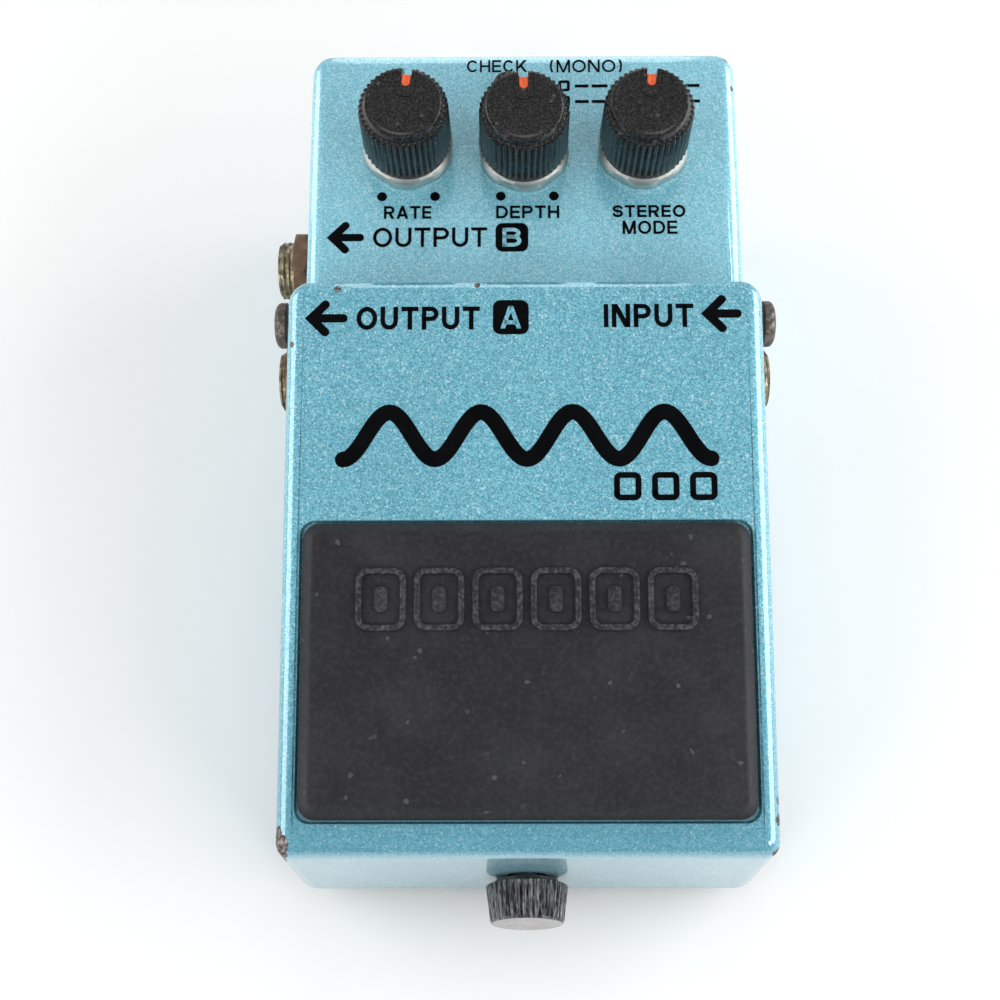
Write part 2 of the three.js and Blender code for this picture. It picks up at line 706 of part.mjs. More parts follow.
function treadle() {
  const { shell, springBase } = treadlePlate();
  const underside = prism(
    polygon([
      [TREADLE.front, treadleUnderZ(TREADLE.front) - GAP],
      [TREADLE.rear, treadleUnderZ(TREADLE.rear) - GAP],
      [TREADLE.rear, 0],
      [TREADLE.front, 0],
    ]),
    "x",
    -30,
    30,
  );
  piece("treadle_plate", shell, MATERIAL.bluePaint);
  piece("spring_base", springBase.intersect(underside), MATERIAL.blackNylon);
  const pusher = box(-4, 4, PLUNGER.y - 4, PLUNGER.y + 4, PLUNGER.top + GAP, 60);
  piece("switch_pusher", pusher.intersect(underside), MATERIAL.rubber);

  const pad = paddedTop();
  piece("rubber_pad", pad, MATERIAL.rubber, onTreadle());
}

// The pad, with sloping sides. Its top is drawn in from its outline by the bevel.
function paddedTop() {
  const { halfWidth: x, front: y0, rear: y1, rise, bevel, corner } = PAD;
  const shape = roundedRectangle(-x + bevel, y0 + bevel, x - bevel, y1 - bevel, corner - bevel);
  const geometry = new THREE.ExtrudeGeometry(shape, {
    depth: 0.3,
    bevelEnabled: true,
    bevelThickness: rise,
    bevelSize: bevel,
    bevelSegments: 1,
    curveSegments: 4,
  });
  geometry.translate(0, 0, -0.3);
  const above = box(-40, 40, 0, 60, -0.15, 5);
  const foot = prism(roundedRectangle(-x, y0, x, y1, corner), "z", -RECESS.depth + GAP, -0.1, 4);
  return join(solid(geometry).intersect(above), foot);
}

function hinge() {
  for (const [name, side] of [["left", -1], ["right", 1]]) {
    const span = (near, far) => (side > 0 ? [near, far] : [-far, -near]);
    const centre = [PIVOT.y, PIVOT.z];
    const { pinRadius, headRadius, headInner, headOuter, crownRadius, crownOuter } = HINGE;
    const { sleeveRadius, flangeRadius, boreRadius } = HINGE;
    const shank = bar("x", centre, pinRadius, ...span(27, headInner + 0.2), 20);
    const head = bar("x", centre, headRadius, ...span(headInner, headOuter), 28);
    const crown = bar("x", centre, crownRadius, ...span(headOuter - 0.2, crownOuter), 28);
    piece(`hinge_pin_${name}`, join(shank, head, crown), MATERIAL.oldSteel);
    const inner = TREADLE.halfWidth - TREADLE.wall;
    const sleeve = bar("x", centre, sleeveRadius, ...span(inner, headInner - 0.5), 24);
    const flangeFrom = TREADLE.halfWidth + GAP;
    const flange = bar("x", centre, flangeRadius, ...span(flangeFrom, headInner - GAP), 28);
    const bore = bar("x", centre, boreRadius, ...span(30, 40), 20);
    piece(`hinge_bush_${name}`, cut(join(sleeve, flange), bore), MATERIAL.blackNylon);
  }
}

function thumbscrew() {
  const centre = [0, SCREW.z];
  const front = -REAR;
  const length = SCREW.headRear - front;
  const knob = flutedBar(32, SCREW.rearRadius, SCREW.frontRadius, 0.35, 0, length);
  const toFront = new THREE.Matrix4()
    .makeTranslation(0, SCREW.headRear, SCREW.z)
    .multiply(new THREE.Matrix4().makeRotationX(Math.PI / 2));
  const socket = bar("y", centre, 2.5, SCREW.headRear - 3, SCREW.headRear + 1, 20);
  piece("thumbscrew_knob", cut(knob.transform(toFront.elements), socket), MATERIAL.blackPlastic);
  const shoulder = bar("y", centre, 2.2, SCREW.headRear - 2.7, -56.4, 20);
  const thread = bar("y", centre, 1.9, -56.5, -54.3, 20);
  piece("thumbscrew_shank", join(shoulder, thread), MATERIAL.steel);
  const washer = cut(
    bar("y", centre, 4.6, SCREW.headRear + GAP / 2, TREADLE.front - GAP, 24),
    bar("y", centre, 2.5, SCREW.headRear, TREADLE.front + 1, 20),
  );
  piece("thumbscrew_washer", washer, MATERIAL.blackNylon);
  const bush = cut(
    bar("y", centre, 4, CASE.front - 0.2, BAY.front, 24),
    bar("y", centre, 2.2, CASE.front - 1, BAY.front + 1, 20),
  );
  piece("guide_bush", bush, MATERIAL.steel);
}

// The coil spring stands in the case's cup and carries the treadle.
function spring() {
  const floor = deckZ(SPRING.y) - SPRING.wellDepth + GAP + SPRING.wire;
  const top = SPRING.seatZ - GAP - SPRING.wire;
  const turns = 5.5;
  class Coil extends THREE.Curve {
    getPoint(t, target = new THREE.Vector3()) {
      const turn = t * turns * Math.PI * 2;
      const radius = SPRING.radius - SPRING.wire;
      return target.set(
        radius * Math.cos(turn),
        SPRING.y + radius * Math.sin(turn),
        floor + (top - floor) * t,
      );
    }
  }
  const section = new THREE.Shape();
  section.absarc(0, 0, SPRING.wire, 0, Math.PI * 2);
  const geometry = new THREE.ExtrudeGeometry(section, {
    steps: Math.round(turns * 14),
    extrudePath: new Coil(),
    curveSegments: 4,
  });
  piece("coil_spring", solid(geometry), MATERIAL.springSteel);
}

piece("case_shell", caseShell(), MATERIAL.bluePaint);
base();
circuitBoard();
footswitch();
battery();
jacks();
powerSocket();
controls();
indicator();
treadle();
hinge();
thumbscrew();
spring();

export default pedal;
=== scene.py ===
"""The looks of a compact guitar effects pedal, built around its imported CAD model.

Lengths are in millimetres, in the CAD's own frame, until a mesh is made. X is to the player's
right, Y is away from the player, and Z is up from the surface that the pedal stands on.
"""
import json
import math

import bmesh
import bpy
from mathutils import Matrix, Vector


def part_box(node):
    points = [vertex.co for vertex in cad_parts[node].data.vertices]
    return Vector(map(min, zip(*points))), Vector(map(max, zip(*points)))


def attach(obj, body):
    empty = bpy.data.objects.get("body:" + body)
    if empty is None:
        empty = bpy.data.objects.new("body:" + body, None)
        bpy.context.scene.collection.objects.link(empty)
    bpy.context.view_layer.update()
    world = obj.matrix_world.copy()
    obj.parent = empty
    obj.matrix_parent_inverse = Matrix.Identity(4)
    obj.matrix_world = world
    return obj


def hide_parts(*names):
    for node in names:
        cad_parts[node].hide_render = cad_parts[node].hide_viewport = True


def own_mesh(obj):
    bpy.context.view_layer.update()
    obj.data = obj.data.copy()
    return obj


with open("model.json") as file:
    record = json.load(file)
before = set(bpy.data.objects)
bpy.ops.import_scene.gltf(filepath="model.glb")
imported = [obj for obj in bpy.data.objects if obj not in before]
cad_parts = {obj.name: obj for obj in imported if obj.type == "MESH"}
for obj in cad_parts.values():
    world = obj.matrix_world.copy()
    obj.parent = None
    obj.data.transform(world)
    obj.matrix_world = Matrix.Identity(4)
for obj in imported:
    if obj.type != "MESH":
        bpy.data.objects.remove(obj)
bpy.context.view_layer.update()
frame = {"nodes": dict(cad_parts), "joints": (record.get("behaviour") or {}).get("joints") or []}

MM = 0.001
JOINTS = {joint["name"]: joint for joint in frame["joints"]}


def box(node):
    """A CAD node's lowest and highest corners, in millimetres."""
    low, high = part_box(node)
    return low / MM, high / MM


def side_span(node):
    """How near to the pedal's middle plane and how far from it a side's node reaches."""
    low, high = box(node)
    return sorted((abs(low.x), abs(high.x)))


def linked(name, data):
    """A new object in the scene."""
    made = bpy.data.objects.new(name, data)
    bpy.context.scene.collection.objects.link(made)
    return made


# ---------- driving dimensions, from the frame ----------
CASE_LOW, CASE_HIGH = box("case_shell")
TREADLE_LOW, TREADLE_HIGH = box("treadle_plate")
PIVOT = Vector(JOINTS["treadle_press"]["pos_m"]) / MM
PANEL_NORMAL = Vector(JOINTS["depth_turn"]["axis"]).normalized()
PANEL_SLOPE = math.asin(-PANEL_NORMAL.y)
TREADLE_SLOPE = math.radians(15.25)

TREADLE_FRONT_Z = TREADLE_HIGH.z - (TREADLE_HIGH.y - TREADLE_LOW.y) * math.tan(TREADLE_SLOPE)
CORNER_RADIUS = 3.3
EDGE_RADIUS = 2.3


def panel_z(y):
    """The height of the control panel's plane."""
    return CASE_HIGH.z - (CASE_HIGH.y - y) * math.tan(PANEL_SLOPE)


def treadle_z(y):
    """The height of the treadle's top plane."""
    return TREADLE_FRONT_Z + (y - TREADLE_LOW.y) * math.tan(TREADLE_SLOPE)


# Planes that things lie on: local X to the right, Y up the slope and Z out of the surface.
ON_TREADLE = Matrix.Translation((0, TREADLE_LOW.y, TREADLE_FRONT_Z)) @ Matrix.Rotation(
    TREADLE_SLOPE, 4, "X"
)
ON_PANEL = Matrix.Translation((0, CASE_HIGH.y, CASE_HIGH.z)) @ Matrix.Rotation(PANEL_SLOPE, 4, "X")


# ---------- camera ----------
CAMERA = {"place": (-2.33, -101.92, 231.65), "turns": (-0.87, 64.56, -0.96), "lens": 53.9}


def make_camera():
    """Looks down at the pedal from the player's side, turned a little off square."""
    yaw, pitch, roll = (math.radians(a) for a in CAMERA["turns"])
    forward = Vector(
        (math.sin(yaw) * math.cos(pitch), math.cos(yaw) * math.cos(pitch), -math.sin(pitch))
    )
    level = Vector((math.cos(yaw), -math.sin(yaw), 0))
    upright = level.cross(forward)
    right = math.cos(roll) * level + math.sin(roll) * upright
    up = math.cos(roll) * upright - math.sin(roll) * level
    camera = linked("camera", bpy.data.cameras.new("camera"))
    turn = Matrix((right, up, -forward)).transposed().to_4x4()
    camera.matrix_world = Matrix.Translation(Vector(CAMERA["place"]) * MM) @ turn
    camera.data.lens = CAMERA["lens"]
    camera.data.sensor_width = 36
    camera.data.clip_start = 0.01
    bpy.context.scene.camera = camera


make_camera()


class Shader:
    """One material's nodes. Its methods add a node and return an output socket."""

    def __init__(self, name):
        self.material = bpy.data.materials.new(name)
        self.material.use_nodes = True
        self.tree = self.material.node_tree
        self.tree.nodes.clear()
        self.surface = self.tree.nodes.new("ShaderNodeBsdfPrincipled")
        output = self.tree.nodes.new("ShaderNodeOutputMaterial")
        self.tree.links.new(self.surface.outputs[0], output.inputs["Surface"])
        coordinates = self.add("ShaderNodeTexCoord").outputs
        self.place, self.facing = coordinates["Object"], coordinates["Normal"]

    def add(self, kind, inputs=None, **settings):
        node = self.tree.nodes.new(kind)
        for key, value in settings.items():
            setattr(node, key, value)
        for key, value in (inputs or {}).items():
            self.put(node.inputs[key], value)
        return node

    def put(self, socket, value):
        if isinstance(value, bpy.types.NodeSocket):
            self.tree.links.new(value, socket)
        else:
            socket.default_value = value

    def set(self, **inputs):
        for key, value in inputs.items():
            self.put(self.surface.inputs[key.replace("_", " ")], value)

    def vectors(self, operation, a, b=(0, 0, 0), output="Vector"):
        """Vector arithmetic."""
        return self.add("ShaderNodeVectorMath", {0: a, 1: b}, operation=operation).outputs[output]

    def stretched(self, scale):
        return self.vectors("MULTIPLY", self.place, scale)

    def noise(self, size, detail=3, roughness=0.55, where=None):
        """Smooth noise whose lumps are about size millimetres."""
        inputs = {
            "Vector": where or self.place,
            "Scale": 1 / (size * MM),
            "Detail": detail,
            "Roughness": roughness,
        }
        return self.add("ShaderNodeTexNoise", inputs).outputs[0]

    def patches(self, size, low, high, start=0.0, end=1.0, **noise):
        """Smooth patches of noise, where low becomes start and high becomes end."""
        return self.step(self.noise(size, **noise), low, high, start, end)

    def cells(self, size, output="Color"):
        """Random cells about size millimetres across."""
        inputs = {"Vector": self.place, "Scale": 1 / (size * MM)}
        return self.add("ShaderNodeTexVoronoi", inputs).outputs[output]

    def chance(self, size):
        """A random number from 0 to 1 in each cell."""
        return self.add("ShaderNodeSeparateColor", {0: self.cells(size)}).outputs[0]

    def step(self, value, low, high, start=0.0, end=1.0):
        """Maps low to start and high to end, smoothly, and clamps outside."""
        inputs = {"Value": value, 1: low, 2: high, 3: start, 4: end}
        return self.add("ShaderNodeMapRange", inputs, interpolation_type="SMOOTHSTEP").outputs[0]

    def math(self, operation, a, b):
        return self.add("ShaderNodeMath", {0: a, 1: b}, operation=operation).outputs[0]

    def times(self, a, b):
        return self.math("MULTIPLY", a, b)

    def mix(self, factor, a, b):
        """Mixes colours a and b."""
        node = self.add("ShaderNodeMix", data_type="RGBA")
        self.put(node.inputs[0], factor)
        for socket, value in ((node.inputs[6], a), (node.inputs[7], b)):
            self.put(socket, value if isinstance(value, bpy.types.NodeSocket) else (*value, 1))
        return node.outputs[2]

    def blend(self, factor, a, b):
        """Mixes numbers a and b."""
        return self.add("ShaderNodeMix", {0: factor, 2: a, 3: b}, data_type="FLOAT").outputs[0]

    def bump(self, height, depth):
        """A normal for relief depth millimetres deep, where height runs from 0 to 1."""
        inputs = {"Height": height, "Distance": depth * MM, "Strength": 1.0}
        return self.add("ShaderNodeBump", inputs).outputs[0]

    def near(self, centre, radius):
        """1 inside a ragged spot round a point, 0 outside, from millimetres."""
        ragged, fade = 0.8, 0.86
        away = self.vectors("DISTANCE", self.place, Vector(centre) * MM, "Value")
        lumps = self.math("SUBTRACT", self.noise(1.2, detail=2), 0.5)
        away = self.math("ADD", away, self.times(lumps, ragged * radius * MM))
        return self.step(away, radius * MM, radius * MM * fade)

    def any_of(self, masks):
        total = masks[0]
        for mask in masks[1:]:
            total = self.math("MAXIMUM", total, mask)
        return total

    def axis(self, index):
        """One coordinate of the object, in metres."""
        return self.add("ShaderNodeSeparateXYZ", {0: self.place}).outputs[index]

    def toward_player(self, share):
        """share where the surface faces the player's side, and 0 where it looks up or away."""
        facing = self.add("ShaderNodeSeparateXYZ", {0: self.facing}).outputs[1]
        return self.step(self.times(facing, -1.0), 0.82, 0.98, 0.0, share)


def flake_paint(name, deep, pale, chips, dust_and_reflection=0.0, shaded=None):
    """Metallic lacquer: flakes under a clear coat, with chips down to bare metal.

    dust_and_reflection pales the surfaces that face the player, a painted reflection of the bright
    floor, and shaded holds the Y values between which painted shade deepens the colour."""
    s = Shader(name)
    flake = s.chance(0.2)
    cluster = s.noise(0.23, detail=2, roughness=0.7)
    light = s.step(s.math("ADD", s.times(flake, 0.40), cluster), 0.43, 0.99)
    colour = s.mix(light, deep, pale)
    # Painted glints: sparse pale specks that stand in for flakes catching the light.
    glint = s.step(s.chance(0.25), 0.93, 0.97)
    colour = s.mix(s.times(glint, 0.55), colour, (0.66, 0.84, 0.88))
    cloud = s.patches(26, 0.3, 0.75, 0, 0.12, detail=2)
    colour = s.mix(cloud, colour, [c * 0.7 for c in deep])
    # Painted shade: the colour darkens toward the front between the two Y values.
    if shaded:
        start, end = shaded
        share = s.step(s.axis(1), start * MM, end * MM, 0.0, 0.5)
        colour = s.mix(share, colour, [c * 0.8 for c in deep])
    # Painted reflection: faces toward the player are paled toward grey-blue, as if they mirrored the
    # bright floor.
    if dust_and_reflection:
        colour = s.mix(s.toward_player(dust_and_reflection), colour, (0.56, 0.68, 0.71))
    worn = s.any_of([s.near(centre, radius) for centre, radius in chips])
    grit = s.patches(0.5, 0.35, 0.7)
    bare = s.mix(grit, (0.055, 0.040, 0.045), (0.30, 0.27, 0.25))
    colour = s.mix(worn, colour, bare)
    speck = s.patches(1.1, 0.78, 0.81, detail=1)
    colour = s.mix(s.times(speck, 0.4), colour, (0.12, 0.16, 0.17))
    tilt = s.vectors("SUBTRACT", s.cells(0.24), (0.5, 0.5, 0.5))
    peel = s.bump(s.noise(1.6, detail=2), 0.010)
    flaked = s.vectors("ADD", peel, s.vectors("MULTIPLY", tilt, (0.12, 0.12, 0.12)))
    s.set(
        Base_Color=colour,
        Metallic=s.blend(worn, 0.30, 0.8),
        Roughness=s.blend(worn, s.patches(9, 0.2, 0.8, 0.34, 0.46), 0.55),
        Normal=s.vectors("NORMALIZE", flaked),
        Coat_Weight=s.blend(worn, 1.0, 0.0),
        Coat_Roughness=0.05,
        Coat_IOR=1.95,
        Coat_Normal=peel,
    )
    return s.material


def rubber(name, base, dust_and_reflection, relief=0.03, crest=None):
    """Moulded rubber, with a fine grain, pale dust and scuffs.

    Above a height on the treadle's plane, crest, it is paler in places: painted highlight on the
    raised marks, with some rubbing wear."""
    s = Shader(name)
    grain = s.noise(0.35, detail=2)
    smear = s.patches(14, 0.42, 0.80, detail=5, roughness=0.65)
    colour = s.mix(s.times(smear, 0.35), base, dust_and_reflection)
    colour = s.mix(s.patches(0.7, 0.4, 0.75, 0, 0.3, detail=3), colour, dust_and_reflection)
    speck = s.step(s.chance(0.55), 0.994, 0.999)
    colour = s.mix(s.times(speck, 0.2), colour, (0.24, 0.24, 0.22))
    long_lines = s.noise(0.5, detail=2, where=s.stretched((0.06, 1.0, 1.0)))
    scratch = s.times(s.step(long_lines, 0.70, 0.76), s.patches(11, 0.45, 0.6))
    colour = s.mix(s.times(scratch, 0.25), colour, dust_and_reflection)
    worn = s.math("ADD", s.noise(7, detail=4), s.times(grain, 0.2))
    # Painted highlight, with some rubbing wear: the raised marks are paled in patches above the crest
    # height.
    if crest:
        upward = ON_TREADLE.col[2].xyz
        level = s.vectors("DOT_PRODUCT", s.place, upward, "Value")
        foot = ON_TREADLE.translation.dot(upward) + crest
        high = s.step(level, foot * MM, (foot + 0.12) * MM)
        rubbed_and_highlight = s.times(high, s.patches(0.6, 0.42, 0.66, 0, 0.45, detail=3))
        colour = s.mix(rubbed_and_highlight, colour, (0.115, 0.11, 0.11))
    s.set(
        Base_Color=colour,
        Roughness=s.step(worn, 0.3, 0.9, 0.42, 0.66),
        Specular_IOR_Level=0.32,
        Normal=s.bump(grain, relief),
    )
    return s.material


def plastic(name, base, gloss=0.25, grain=0.5, relief=0.02, dust_and_reflection=0.0, shine=0.5, mottle=0.0,
            streaks=(1, 1, 1), front=0.0):
    """Moulded plastic with a pitted skin.

    mottle is how much paler its pale grains are, streaks squeezes the axes that the grains are
    long on, and front is how much its side towards the player is paled by a painted reflection."""
    s = Shader(name)
    pits = s.noise(grain, detail=3, roughness=0.6)
    colour = s.mix(s.patches(4, 0.3, 0.8, 0, 0.35), base, [c * 1.5 + 0.004 for c in base])
    if mottle:
        streaked = s.stretched(streaks)
        grains = s.patches(0.3, 0.42, 0.68, detail=2, roughness=0.7, where=streaked)
        colour = s.mix(grains, colour, [c + mottle for c in base])
    # Painted reflection: the side towards the player is paled as if it mirrored the bright floor.
    if front:
        colour = s.mix(s.toward_player(front), colour, (0.41, 0.40, 0.385))
    if dust_and_reflection:
        specks = s.step(s.chance(0.5), 0.97, 0.99)
        colour = s.mix(s.times(specks, dust_and_reflection), colour, (0.35, 0.33, 0.30))
    s.set(
        Base_Color=colour,
        Roughness=s.patches(2.5, 0.25, 0.8, gloss, gloss + 0.18, detail=4),
        Specular_IOR_Level=shine,
        Normal=s.bump(pits, relief),
    )
    return s.material


def metal(name, base, tarnish, amount=0.3, gloss=0.25, brushed=(1, 1, 1), relief=0.01, size=1.6):
    """Plated or bare metal, stained where the noise is high."""
    s = Shader(name)
    edge = 0.75 - amount * 0.5
    stain = s.patches(size, edge, edge + 0.2, detail=6, roughness=0.7)
    lines = s.noise(0.22, detail=2, where=s.stretched(brushed))
    bright = s.mix(s.step(lines, 0.3, 0.7, 0, 0.35), base, [c * 0.75 for c in base])
    rough = s.step(lines, 0.2, 0.8, gloss, gloss + 0.15)
    s.set(
        Base_Color=s.mix(stain, bright, tarnish),
        Metallic=s.blend(stain, 1.0, 0.35),
        Roughness=s.blend(stain, rough, 0.62),
        Normal=s.bump(s.math("ADD", s.times(stain, 0.8), lines), relief),
    )
    return s.material


# ---------- mesh helpers ----------
HERE = Matrix.Identity(4)
SHARP_EDGE = math.radians(32)


def loft(rings, loop=False):
    """A closed skin through rings of equally many points. A loop's last ring meets its first."""
    bm = bmesh.new()
    made = [[bm.verts.new(point) for point in ring] for ring in rings]
    pairs = list(zip(made, made[1:])) + ([(made[-1], made[0])] if loop else [])
    for low, high in pairs:
        for i in range(len(low)):
            j = (i + 1) % len(low)
            bm.faces.new((low[i], low[j], high[j], high[i]))
    if not loop:
        bm.faces.new(list(reversed(made[0])))
        bm.faces.new(made[-1])
    return bm


def rounded_rectangle(x0, y0, x1, y1, radii, inset=0.0, steps=6, side_stops=(), rear_stops=()):
    """Points round a rectangle, anticlockwise from its low corner, drawn in by inset.

    side_stops are Y values of extra points on both long sides, and rear_stops are X values of
    extra points on the far side."""
    a, b, c, d = radii if isinstance(radii, (tuple, list)) else (radii,) * 4
    x0, y0, x1, y1 = x0 + inset, y0 + inset, x1 - inset, y1 - inset
    a, b, c, d = (max(r - inset, 0.02) for r in (a, b, c, d))
    corners = [
        (x0 + a, y0 + a, a, 180),
        (x1 - b, y0 + b, b, 270),
        (x1 - c, y1 - c, c, 0),
        (x0 + d, y1 - d, d, 90),
    ]
    stops = [
        [],
        [(x1, y) for y in sorted(side_stops)],
        [(x, y1) for x in sorted(rear_stops, reverse=True)],
        [(x0, y) for y in sorted(side_stops, reverse=True)],
    ]
    points = []
    for (x, y, r, start), extra in zip(corners, stops):
        for k in range(steps + 1):
            turn = math.radians(start + 90 * k / steps)
            points.append((x + r * math.cos(turn), y + r * math.sin(turn)))
        points.extend(extra)
    return points


def prism(outline, low, high, place=HERE):
    """A closed prism over an outline in a plane's own X and Y."""
    rings = [[place @ Vector((x, y, z)) for x, y in outline] for z in (low, high)]
    return loft(rings)


def stacked(rectangle, radii, profile, steps, place=HERE, **stops):
    """Rings of one rounded rectangle. profile holds (inset, height) pairs."""
    return [
        [
            place @ Vector((x, y, height))
            for x, y in rounded_rectangle(*rectangle, radii, inset, steps, **stops)
        ]
        for inset, height in profile
    ]


def rounding(radius, steps=7):
    """(inset, drop) pairs round an upper edge, from its side up to its top."""
    turns = [math.radians(90 * (1 - k / steps)) for k in range(steps + 1)]
    return [(radius * (1 - math.sin(turn)), radius * (1 - math.cos(turn))) for turn in turns]


# Frames whose local Z runs along X or Y.
ALONG_X = Matrix(((0, 0, 1, 0), (1, 0, 0, 0), (0, 1, 0, 0), (0, 0, 0, 1)))
ALONG_Y = Matrix(((-1, 0, 0, 0), (0, 0, 1, 0), (0, 1, 0, 0), (0, 0, 0, 1)))


def out_of_side(side, y, z):
    """A frame whose local Z runs out of the pedal's right side, 1, or its left side, -1."""
    turn = ALONG_X if side > 0 else Matrix.Rotation(math.pi, 4, "Z") @ ALONG_X
    return Matrix.Translation((0, y, z)) @ turn


def turned_rings(profile, segments, place, shape=None):
    """Rings about local Z. profile holds (radius, height) pairs.

    shape(radius, height, turn) may change a ring's radius from point to point."""
    rings = []
    for radius, height in profile:
        ring = []
        for k in range(segments):
            turn = math.tau * k / segments
            r = shape(radius, height, turn) if shape else radius
            ring.append(place @ Vector((r * math.cos(turn), r * math.sin(turn), height)))
        rings.append(ring)
    return rings


def revolved(profile, segments, place=HERE, shape=None):
    """A solid of revolution about local Z."""
    return loft(turned_rings(profile, segments, place, shape))


def tube(outer, inner, segments, place=HERE, shape=None):
    """A ring-shaped solid: the outer profile goes up, and the inner one comes back down."""
    rings = turned_rings(outer, segments, place, shape)
    return loft(rings + turned_rings(inner, segments, place), loop=True)


def loose_object(bm):
    """An object of a bmesh that is in millimetres."""
    bmesh.ops.recalc_face_normals(bm, faces=bm.faces)
    mesh = bpy.data.meshes.new("loose")
    bm.to_mesh(mesh)
    bm.free()
    mesh.transform(Matrix.Scale(MM, 4))
    return linked("loose", mesh)


def carve(target, tools, operation="DIFFERENCE"):
    """Cuts tools from an object's mesh, joins them to it, or keeps what they share."""
    for tool in tools:
        modifier = target.modifiers.new("carve", "BOOLEAN")
        modifier.operation = operation
        modifier.solver = "EXACT"
        modifier.object = tool
    graph = bpy.context.evaluated_depsgraph_get()
    done = bpy.data.meshes.new_from_object(target.evaluated_get(graph))
    target.modifiers.clear()
    target.data = done
    for tool in tools:
        bpy.data.objects.remove(tool)


def present(made, name, body, material, *replaces):
    """Names a loose object, finishes its surface, and lets it ride on a body."""
    mesh = made.data
    made.name = mesh.name = name
    mesh.materials.clear()
    mesh.materials.append(material)
    mesh.shade_smooth()
    mesh.set_sharp_from_angle(angle=SHARP_EDGE)
    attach(made, body)
    if replaces:
        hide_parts(*replaces)


def flatten(made):
    """Lets large flat faces settle the shading of the roundings beside them."""
    normals = made.modifiers.new("normals", "WEIGHTED_NORMAL")
    normals.mode = "FACE_AREA"
    normals.weight = 80
    normals.keep_sharp = True


# ---------- materials ----------
def chips(x, y, z, *spots):
    """Chipped spots near a point. A spot is its offset along X, Y and Z, and its radius."""
    return [((x + dx, y + dy, z + dz), radius) for dx, dy, dz, radius in spots]


CHIPS_ON_TREADLE = (
    chips(
        TREADLE_LOW.x, TREADLE_LOW.y, TREADLE_FRONT_Z,
        (0.4, 3.2, 0.2, 0.9), (0.8, 1.8, -0.3, 1.4), (0.5, 0.5, -1.2, 1.3), (0.4, 0.4, -3.2, 1.2),
        (0.5, 0.6, -5.2, 0.9),
    )
    + chips(
        TREADLE_HIGH.x, TREADLE_LOW.y, TREADLE_FRONT_Z,
        (-0.5, 0.6, -1.6, 0.9), (-0.1, 4.8, 0.2, 0.9), (-0.1, 7.2, 0.9, 0.6),
    )
    + chips(TREADLE_LOW.x, 11.8, treadle_z(11.8), (0.9, 0, -0.6, 0.5))
    + chips(0, 20.2, treadle_z(20.2), (-7.0, 0, -0.3, 0.5))
    + chips(0, 19.6, treadle_z(19.6), (-27.4, 0, 0, 0.6))
)
CHIPS_ON_CASE = (
    chips(*CASE_HIGH, (-1.2, -1.0, -0.6, 0.9), (-0.4, -6.4, -1.8, 0.6))
    + chips(CASE_LOW.x, CASE_HIGH.y, 8, (0.6, -0.5, 0, 1.2))
    + chips(CASE_HIGH.x, CASE_HIGH.y, 5, (-0.4, -1.0, 0, 1.0))
)
# The treadle's paint has a painted reflection on its faces toward the player, and painted shade that
# darkens its top toward the front.
TREADLE_PAINT = flake_paint(
    "treadle_paint", (0.026, 0.242, 0.35), (0.205, 0.585, 0.70), CHIPS_ON_TREADLE, dust_and_reflection=0.3,
    shaded=(-20, TREADLE_LOW.y),
)
# The case's blue is painted paler than the treadle's: a lit copy of the same paint, standing in for
# the stronger light that falls on the panel.
CASE_PAINT = flake_paint("case_paint", (0.115, 0.43, 0.56), (0.335, 0.73, 0.85), CHIPS_ON_CASE)
PAD_RUBBER = rubber(
    "pad_rubber", (0.0095, 0.0095, 0.012), (0.045, 0.045, 0.050), relief=0.045, crest=1.98
)
MAT_RUBBER = rubber("mat_rubber", (0.022, 0.022, 0.022), (0.06, 0.06, 0.06), relief=0.06)
KNOB_PLASTIC = plastic(
    "knob_plastic", (0.0025, 0.0025, 0.003), gloss=0.13, grain=0.8, relief=0.06, dust_and_reflection=0.12,
    shine=0.36, mottle=0.03,
)
WORN_PLASTIC_AND_REFLECTION = plastic(
    "worn_plastic_and_reflection", (0.008, 0.008, 0.009), gloss=0.2, grain=0.6, relief=0.05, mottle=0.2,
    streaks=(1, 0.12, 1), front=0.75,
)
BLACK_NYLON = plastic("black_nylon", (0.014, 0.014, 0.015), gloss=0.4)
WHITE_NYLON = plastic("white_nylon", (0.60, 0.58, 0.52), gloss=0.35)
ORANGE = plastic("orange_paint", (0.72, 0.115, 0.028), gloss=0.4, grain=0.3)
INK = plastic(
    "legend_ink", (0.001, 0.0012, 0.0018), gloss=0.42, grain=0.25, relief=0.006, shine=0.04
)
ZINC = metal("zinc_plate", (0.50, 0.49, 0.455), (0.32, 0.28, 0.22), amount=0.35, gloss=0.4)
STEEL = metal("shaft_steel", (0.55, 0.55, 0.54), (0.25, 0.22, 0.19), amount=0.2, gloss=0.22)
PLATE = metal(
    "plate_steel", (0.50, 0.50, 0.48), (0.20, 0.17, 0.14), amount=0.25, brushed=(0.1, 1, 1)
)
SPRING_STEEL = metal("spring_steel", (0.58, 0.58, 0.58), (0.3, 0.25, 0.2), amount=0.15)
BRASS = metal("aged_brass", (0.36, 0.31, 0.20), (0.085, 0.065, 0.035), amount=0.75, gloss=0.3)
RUSTED = metal(
    "aged_steel", (0.30, 0.20, 0.13), (0.15, 0.082, 0.048), amount=0.9, gloss=0.36, relief=0.03
)
PIN_STEEL = metal(
    "pin_steel", (0.22, 0.19, 0.165), (0.06, 0.048, 0.042), amount=0.75, gloss=0.36, relief=0.03,
    size=0.8,
)


def lens_material():
    s = Shader("red_lens")
    depth = s.noise(2.5)
    s.set(
        Base_Color=s.mix(depth, (0.30, 0.012, 0.010), (0.42, 0.03, 0.02)),
        Roughness=s.patches(1.2, 0.3, 0.8, 0.06, 0.16),
        Coat_Weight=0.6,
        Coat_Roughness=0.05,
    )
    return s.material


